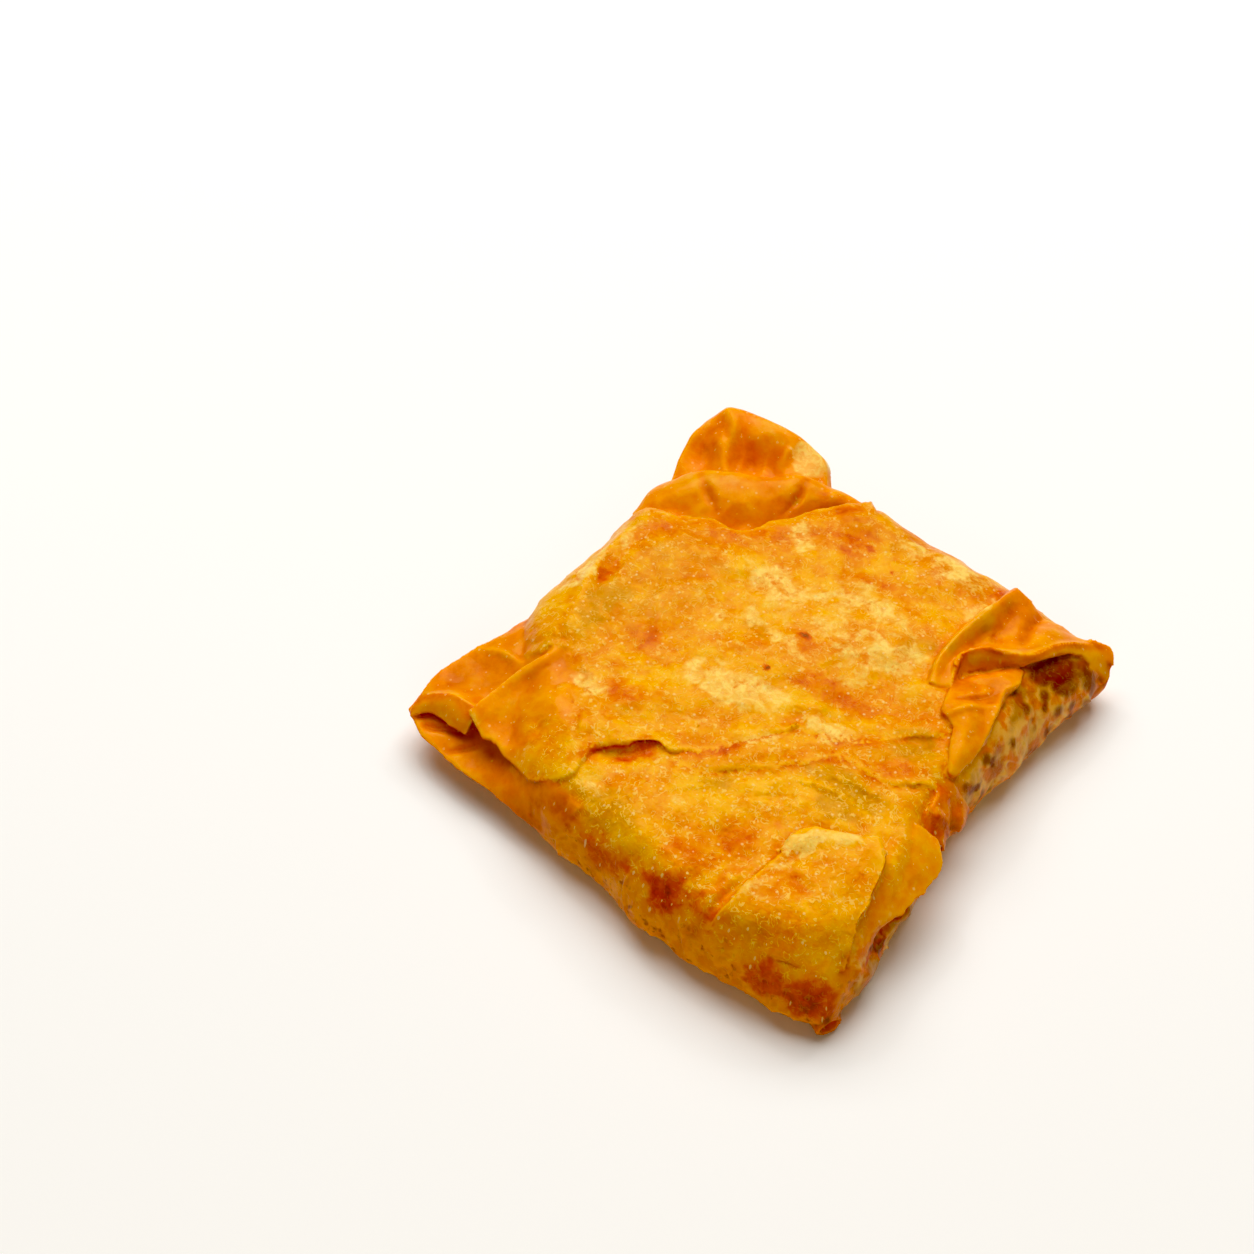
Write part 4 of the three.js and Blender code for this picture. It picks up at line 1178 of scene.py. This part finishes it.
def colour_masks(obj):
    """Stores the masks that the material reads, worked out in the parcel's plan."""
    mesh = obj.data
    points = read_points(mesh) / MM
    normals = read_normals(mesh)
    looks = looks_at(points)
    thin = soften_over_mesh(mesh, looks[:, 0], 3)
    fried = soften_over_mesh(mesh, looks[:, 1], 5)
    edge_gap, edge_owner = edges_at(points)
    own_edge = np.where(looks[:, 2] == edge_owner, 1.0, 0.0)
    side, wall = side_masks(mesh, points, normals, looks, thin)
    folds = fold_shade(mesh, points, normals, thin)
    # Browned spots, a few of them painted shade, and painted shade in the gaps under loose edges.
    brown = np.maximum(spots(points, FRIED_AND_SHADE_SPOTS), spots(points, GAPS, GAP_HALF_DEEP))
    fried = with_browning(fried, points, normals, thin, brown, folds, own_edge, edge_gap)
    # Browned dots on the right side, and painted shade under the lip, below the strip, behind the side flap
    # and in folds.
    dots = spots(points, WALL_DOTS, WALL_DOT_HALF_DEEP)
    shade = np.maximum(0.75 * spots(points, WALL_SHADE), 1.3 * dots)
    upward = smooth_step(normals[:, 2], 0.5, 0.8)
    # Frying, with painted shade in folds, gaps and under edges added.
    store(mesh, "fried", fried)
    store(mesh, "shade", np.maximum(shade, 3.0 * np.clip(folds, 0.0, 0.3)))
    store(mesh, "thin", thin)
    store(mesh, "side", side * (1.0 - smooth_step(brown, 0.06, 0.26)))
    store(mesh, "wall", wall)
    # Painted sheen along the wrinkles low on the sides.
    store(mesh, "ridge", wrinkles(points, 2.6, 26) * smooth_step(points[:, 2], 15.0, 9.0))
    store(mesh, "olive", spots(points, OLIVE_SPOTS) * (1.0 - thin))
    store(mesh, "pale", spots(points, PALE_SPOTS))
    # Painted highlight along free edges that face up.
    store(mesh, "edge", own_edge * np.exp(-((edge_gap / 0.7) ** 2)) * upward)
    store(mesh, "curly", smooth_step(points[:, 1] - 0.4 * points[:, 0], -6.0, -34.0))


# ---- the fried skin's material -------------------------------------------------------------------


class Shading:
    """A small helper that adds nodes to a material and links them."""

    def __init__(self, material):
        self.tree = material.node_tree
        self.place = self.add("ShaderNodeTexCoord").outputs["Object"]

    def add(self, kind, **settings):
        node = self.tree.nodes.new(kind)
        for name, value in settings.items():
            setattr(node, name, value)
        return node

    def feed(self, socket, value):
        if isinstance(value, bpy.types.NodeSocket):
            self.tree.links.new(value, socket)
        else:
            socket.default_value = value

    def mask(self, name):
        return self.add("ShaderNodeAttribute", attribute_name=name).outputs["Fac"]

    def math(self, operation, a, b=0.0):
        node = self.add("ShaderNodeMath", operation=operation, use_clamp=False)
        self.feed(node.inputs[0], a)
        self.feed(node.inputs[1], b)
        return node.outputs[0]

    def times(self, a, b):
        return self.math("MULTIPLY", a, b)

    def plus(self, a, b):
        return self.math("ADD", a, b)

    def step(self, value, low, high, start=0.0, end=1.0):
        node = self.add("ShaderNodeMapRange", interpolation_type="SMOOTHSTEP")
        self.feed(node.inputs["Value"], value)
        for name, number in (("From Min", low), ("From Max", high), ("To Min", start), ("To Max", end)):
            self.feed(node.inputs[name], number)
        return node.outputs[0]

    def noise(self, size_mm, detail=3.0, roughness=0.5, distortion=0.0):
        node = self.add("ShaderNodeTexNoise")
        self.feed(node.inputs["Vector"], self.place)
        self.feed(node.inputs["Roughness"], roughness)
        self.feed(node.inputs["Scale"], 1.0 / (size_mm * MM))
        self.feed(node.inputs["Detail"], detail)
        self.feed(node.inputs["Distortion"], distortion)
        return node.outputs[0]

    def cells(self, size_mm, flat):
        """Distance from the nearest cell's middle, in cells, and a random number for the cell."""
        node = self.add("ShaderNodeTexVoronoi", voronoi_dimensions="2D" if flat else "3D")
        self.feed(node.inputs["Vector"], self.place)
        self.feed(node.inputs["Scale"], 1.0 / (size_mm * MM))
        pick = self.add("ShaderNodeSeparateColor")
        self.feed(pick.inputs[0], node.outputs["Color"])
        return node.outputs["Distance"], pick.outputs[0]

    def mix(self, share, a, b, blend="MIX"):
        node = self.add("ShaderNodeMix", data_type="RGBA", blend_type=blend)
        self.feed(node.inputs[0], share)
        self.feed(node.inputs[6], a)
        self.feed(node.inputs[7], b)
        return node.outputs[2]

    def ramp(self, value, stops):
        node = self.add("ShaderNodeValToRGB")
        elements = node.color_ramp.elements
        for index, (position, colour) in enumerate(stops):
            element = elements[index] if index < 2 else elements.new(position)
            element.position = position
            element.color = colour
        self.feed(node.inputs[0], value)
        return node.outputs[0]


BRIGHTEST = 0.88  # share of the light that comes back where a photograph would show full white
GAMMA = 2.2


def rgb(red, green, blue):
    """A colour as a photograph shows it, 0 to 255, turned into the share of light that comes back."""
    return tuple(BRIGHTEST * (v / 255.0) ** GAMMA for v in (red, green, blue)) + (1.0,)


# From hardly fried to burnt, first on filled and then on loose skin.
FRYING = [
    (0.0, rgb(250, 184, 36)),
    (0.2, rgb(246, 165, 9)),
    (0.36, rgb(240, 144, 3)),
    (0.52, rgb(234, 122, 2)),
    (0.68, rgb(220, 84, 2)),
    (0.82, rgb(200, 58, 3)),
    (1.0, rgb(128, 32, 2)),
]
THIN_FRYING = [
    (0.0, rgb(255, 206, 112)),
    (0.3, rgb(251, 174, 42)),
    (0.45, rgb(249, 156, 20)),
    (0.6, rgb(240, 128, 8)),
    (0.75, rgb(220, 98, 4)),
    (0.9, rgb(176, 60, 3)),
    (1.0, rgb(110, 28, 2)),
]
OLIVE = rgb(212, 140, 14)
PALE = rgb(255, 216, 112)
CURL = rgb(255, 208, 100)
GLINT = rgb(255, 222, 148)
ROLL_GOLD = rgb(248, 150, 22)
ROLL_BROWN = rgb(234, 126, 18)
ROLL_DARK = rgb(168, 60, 6)
WALL_GOLD = rgb(255, 188, 82)
WALL_BROWN = rgb(240, 122, 34)
WALL_DARK = rgb(134, 34, 6)
WALL_SHEEN = rgb(240, 196, 140)
# Painted highlight on the upward faces of free edges.
EDGE_HIGHLIGHT = rgb(255, 180, 44)

# Sizes of the marks in the skin, in millimetres.
SPECKLE_SIZE, MOTTLE_SIZE, WISP_SIZE, ISLAND_SIZE = 0.9, 3.2, 2.0, 5.0
ROLL_BLOTCH_SIZE, ROLL_SPOT_SIZE = 3.4, 2.4
WALL_BLOTCH_SIZE, WALL_SPECK_SIZE = 4.2, 4.2
BUBBLE_SIZE, BUBBLE_HEIGHT = 1.9, 0.07
CURL_SIZE, CURL_HEIGHT = 1.6, 0.03
DOT_SIZES, DOT_HEIGHT = (3.4, 2.1), 0.04
GRAIN_SIZE, GRAIN_HEIGHT = 0.8, 0.09
DIMPLE_SIZE, DIMPLE_HEIGHT = 2.2, 0.3
OIL_SIZE = 5.0  # of the shinier and duller patches
LIGHT_DEPTH = 1.8  # how far light wanders inside the skin


def round_spots(look, size_mm, share, rim, flat=True):
    """Round spots on a random share of the cells, each highest in its middle."""
    distance, pick = look.cells(size_mm, flat)
    dome = look.step(distance, 0.3 * rim, rim, 1.0, 0.0)
    return look.times(dome, look.step(pick, share - 0.02, share + 0.02, 1.0, 0.0))


def curls(look, size_mm, thickness):
    """Short wandering lines where tiny bubbles have run together, their pale colour partly painted glint."""
    field = look.noise(size_mm, 0.0, distortion=1.2)
    from_line = look.math("ABSOLUTE", look.math("SUBTRACT", field, 0.5))
    line = look.step(from_line, 0.4 * thickness, thickness, 1.0, 0.0)
    broken = look.step(look.noise(size_mm * 0.9, 0.0), 0.46, 0.52)
    return look.times(line, broken)


def top_colour(look, fine, middle):
    """Golden to brown by how deeply the skin is fried and where shade is painted, with green and pale
    patches.
    """
    thin = look.mask("thin")
    speckle = look.times(fine, look.step(thin, 0.2, 0.9, 0.3, 0.12))
    mottle = look.times(middle, look.step(thin, 0.2, 0.9, 0.6, 0.25))
    fried = look.plus(look.mask("fried"), look.plus(speckle, mottle))
    filled, loose = look.ramp(fried, FRYING), look.ramp(fried, THIN_FRYING)
    colour = look.mix(look.step(thin, 0.2, 0.8), filled, loose)
    uneven = look.plus(look.times(middle, 3.0), 1.0)
    olive = look.step(look.times(look.mask("olive"), uneven), 0.0, 1.0)
    colour = look.mix(look.times(olive, 0.85), colour, OLIVE)
    wisps = look.step(look.noise(WISP_SIZE, 8.0, 0.68, 1.2), 0.4, 0.62)
    islands = look.math("SUBTRACT", look.noise(ISLAND_SIZE, 6.0, 0.6, 0.8), 0.5)
    islands = look.times(islands, look.step(thin, 0.2, 0.9, 2.4, 0.4))
    cloud = look.step(look.plus(look.mask("pale"), islands), 0.2, 0.85)
    cloud = look.times(cloud, look.plus(look.times(wisps, 0.6), 0.46))
    veil = look.times(wisps, look.step(thin, 0.2, 0.9, 0.09, 0.05))
    light_skin = look.step(fried, 0.34, 0.5, 1.0, 0.1)
    clear_of_brown = look.math("MAXIMUM", light_skin, look.step(thin, 0.3, 0.8))
    pale = look.times(look.math("MAXIMUM", cloud, veil), clear_of_brown)
    return look.mix(pale, colour, PALE)


def roll_colour(look, middle):
    """The browned lower sides of the parcel, darker where shade is painted."""
    blotches = look.plus(look.noise(ROLL_BLOTCH_SIZE, 5.0), look.times(middle, 0.4))
    colour = look.mix(look.step(blotches, 0.42, 0.58), ROLL_GOLD, ROLL_BROWN)
    colour = look.mix(look.step(look.noise(ROLL_SPOT_SIZE, 3.0), 0.58, 0.7), colour, ROLL_DARK)
    # Darker where shade is painted and on the right side's browned dots.
    return look.mix(look.mask("shade"), colour, ROLL_DARK)


def wall_colour(look, middle):
    """The right side: brown and green filling behind a wrinkled, shiny skin, with painted sheen and painted
    shade.
    """
    blotches = look.plus(look.noise(WALL_BLOTCH_SIZE, 5.0), look.times(middle, 0.5))
    colour = look.mix(look.step(blotches, 0.4, 0.6), WALL_GOLD, WALL_BROWN)
    # Painted sheen on the wrinkles.
    sheen = look.times(look.step(look.mask("ridge"), 0.3, 0.9), 0.45)
    colour = look.mix(sheen, colour, WALL_SHEEN)
    specks = round_spots(look, WALL_SPECK_SIZE, 0.55, 0.5, flat=False)
    colour = look.mix(look.times(specks, 0.9), colour, WALL_DARK)
    # Darker where shade is painted and on the right side's browned dots.
    return look.mix(look.mask("shade"), colour, WALL_DARK)


def skin_colour(look, curl, dots):
    """Top, lower sides and right side together, with pale curls that are partly painted glint, painted glint
    dots and painted highlight on free edges.
    """
    thin, side = look.mask("thin"), look.mask("side")
    fine = look.math("SUBTRACT", look.noise(SPECKLE_SIZE, 4.0, distortion=0.6), 0.5)
    middle = look.math("SUBTRACT", look.noise(MOTTLE_SIZE, 5.0, distortion=0.8), 0.5)
    lower = look.mix(look.mask("wall"), roll_colour(look, middle), wall_colour(look, middle))
    colour = look.mix(side, top_colour(look, fine, middle), lower)
    clear_of_side = look.step(side, 0.0, 1.0, 1.0, 0.2)
    curl = look.times(curl, look.step(look.mask("fried"), 0.4, 0.6, 1.0, 0.2))
    curl = look.times(curl, look.step(look.mask("curly"), 0.0, 1.0, 0.85, 1.15))
    # Pale curls, partly painted glint, kept off deeply fried skin and the sides.
    light_marks = look.times(curl, look.step(thin, 0.3, 0.9, 0.6, 0.15))
    colour = look.mix(look.times(light_marks, clear_of_side), colour, CURL)
    dots = look.times(dots, look.step(thin, 0.3, 0.9, 0.65, 0.4))
    colour = look.mix(look.times(dots, clear_of_side), colour, GLINT)
    # Painted highlight along the upward-facing free edges.
    edge_highlight = look.times(look.mask("edge"), look.step(thin, 0.3, 0.9, 0.8, 0.45))
    return look.mix(edge_highlight, colour, EDGE_HIGHLIGHT)


def skin_height(look, bubbles, dots, curl):
    """Relief finer than the mesh, in millimetres."""
    smooth = look.step(look.mask("thin"), 0.3, 0.9, 1.0, 0.25)
    height = look.times(bubbles, BUBBLE_HEIGHT)
    height = look.plus(height, look.times(dots, DOT_HEIGHT))
    height = look.plus(height, look.times(curl, CURL_HEIGHT))
    for size, depth in ((GRAIN_SIZE, GRAIN_HEIGHT), (DIMPLE_SIZE, DIMPLE_HEIGHT)):
        height = look.plus(height, look.times(look.noise(size, 3.0, distortion=0.5), depth))
    return look.times(height, smooth)


def fried_skin():
    material = bpy.data.materials.new("fried_skin")
    material.use_nodes = True
    look = Shading(material)
    bubbles = round_spots(look, BUBBLE_SIZE, 0.5, 0.42)
    wide_dots, close_dots = (
        round_spots(look, size, share, 0.12) for size, share in zip(DOT_SIZES, (0.35, 0.24))
    )
    dots = look.math("MAXIMUM", wide_dots, close_dots)
    curl = curls(look, CURL_SIZE, 0.06)
    shader = material.node_tree.nodes["Principled BSDF"]
    look.feed(shader.inputs["Base Color"], skin_colour(look, curl, dots))
    look.feed(shader.inputs["Roughness"], look.step(look.noise(OIL_SIZE, 3.0), 0.35, 0.65, 0.3, 0.5))
    shader.inputs["Specular IOR Level"].default_value = 0.3
    shader.inputs["Specular Tint"].default_value = (1.0, 0.6, 0.08, 1.0)
    look.feed(shader.inputs["Subsurface Weight"], look.step(look.mask("thin"), 0.2, 0.9, 0.45, 0.75))
    shader.inputs["Subsurface Radius"].default_value = (1.0, 0.5, 0.15)
    shader.inputs["Subsurface Scale"].default_value = LIGHT_DEPTH * MM
    shader.inputs["Coat Weight"].default_value = 0.05
    shader.inputs["Coat Roughness"].default_value = 0.2
    bump = look.add("ShaderNodeBump")
    bump.inputs["Strength"].default_value = 0.8
    bump.inputs["Distance"].default_value = MM
    look.feed(bump.inputs["Height"], skin_height(look, bubbles, dots, curl))
    look.feed(shader.inputs["Normal"], bump.outputs[0])
    return material


# ---- the parcel ----------------------------------------------------------------------------------


def shift_onto_frame(obj):
    """Moves the mesh so that its box is centred on the solid's and stands on the table."""
    points = read_points(obj.data)
    low, high = points.min(0), points.max(0)
    solid_low, solid_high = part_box("martabak")
    shift = Vector((
        (solid_low.x + solid_high.x - low[0] - high[0]) / 2,
        (solid_low.y + solid_high.y - low[1] - high[1]) / 2,
        -low[2],
    ))
    write_points(obj.data, points + np.array(shift))
    return shift


parcel = fused_skin()
raise_relief(parcel)
thin_out(parcel)
colour_masks(parcel)
SHIFT = shift_onto_frame(parcel)
parcel.data.shade_smooth()
parcel.data.materials.append(fried_skin())
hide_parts("martabak")
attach(parcel, "root")

# ---- table, light and camera ---------------------------------------------------------------------

TABLE_SIZE = 3.0  # in metres, from the middle to each side
TABLE_WHITE = (0.93, 0.92, 0.9, 1)
TABLE_ROUGHNESS = 0.9
# Lamps: name, place, width and depth (both in metres), power in watts and colour.
LAMPS = [
    ("softbox", (-0.72, 0.87, 1.9), (2.3, 1.9), 62.0, (0.98, 1.0, 1.0)),
    ("fill", (0.5, -0.6, 0.35), (0.5, 0.5), 1.05, (1.0, 0.85, 0.66)),
    ("left_glint", (-0.46, 0.24, 0.66), (0.06, 0.06), 0.35, (1, 1, 1)),
    ("back_glint", (0.02, 0.6, 0.6), (0.06, 0.06), 0.3, (1, 1, 1)),
]
ROOM_COLOUR = (1, 0.77, 0.54, 1)
ROOM_STRENGTH = 0.13
BLACK_LEVEL = (0.008, 0.01, 0.025)  # what the picture's grade takes off the darkest tones


def add_table():
    corners = [(x * TABLE_SIZE, y * TABLE_SIZE, 0) for x, y in ((-1, -1), (1, -1), (1, 1), (-1, 1))]
    table = new_mesh_object("table", corners, [(0, 1, 2, 3)])
    white = bpy.data.materials.new("table_white")
    white.use_nodes = True
    shader = white.node_tree.nodes["Principled BSDF"]
    shader.inputs["Base Color"].default_value = TABLE_WHITE
    shader.inputs["Roughness"].default_value = TABLE_ROUGHNESS
    table.data.materials.append(white)


def add_camera():
    azimuth, elevation = math.radians(AZIMUTH), math.radians(ELEVATION)
    level = math.cos(elevation)
    away = Vector((math.sin(azimuth) * level, -math.cos(azimuth) * level, math.sin(elevation)))
    aim = Vector(AIM) * MM + SHIFT
    data = bpy.data.cameras.new("photo_view")
    data.angle = math.radians(FIELD_OF_VIEW)
    data.clip_start = 0.01
    camera = bpy.data.objects.new("photo_view", data)
    camera.location = aim + away * DISTANCE * MM
    camera.rotation_euler = (-away).to_track_quat("-Z", "Y").to_euler()
    bpy.context.scene.collection.objects.link(camera)
    bpy.context.scene.camera = camera


def add_lamp(name, place, size, power, colour):
    """A rectangular lamp that shines at the middle of the table."""
    data = bpy.data.lights.new(name, "AREA")
    data.shape = "RECTANGLE"
    data.size, data.size_y = size
    data.energy = power
    data.color = colour
    lamp = bpy.data.objects.new(name, data)
    lamp.location = place
    lamp.rotation_euler = (-Vector(place)).to_track_quat("-Z", "Y").to_euler()
    bpy.context.scene.collection.objects.link(lamp)


def add_room_light():
    """Weak warm light from all round, which tints the shadows."""
    world = bpy.data.worlds.new("studio")
    world.use_nodes = True
    background = world.node_tree.nodes["Background"]
    background.inputs["Color"].default_value = ROOM_COLOUR
    background.inputs["Strength"].default_value = ROOM_STRENGTH
    bpy.context.scene.world = world


def grade_picture():
    grade = bpy.context.scene.view_settings
    grade.view_transform = "Standard"
    grade.use_curve_mapping = True
    grade.curve_mapping.black_level = BLACK_LEVEL
    grade.curve_mapping.update()


add_table()
add_camera()
for lamp_settings in LAMPS:
    add_lamp(*lamp_settings)
add_room_light()
grade_picture()
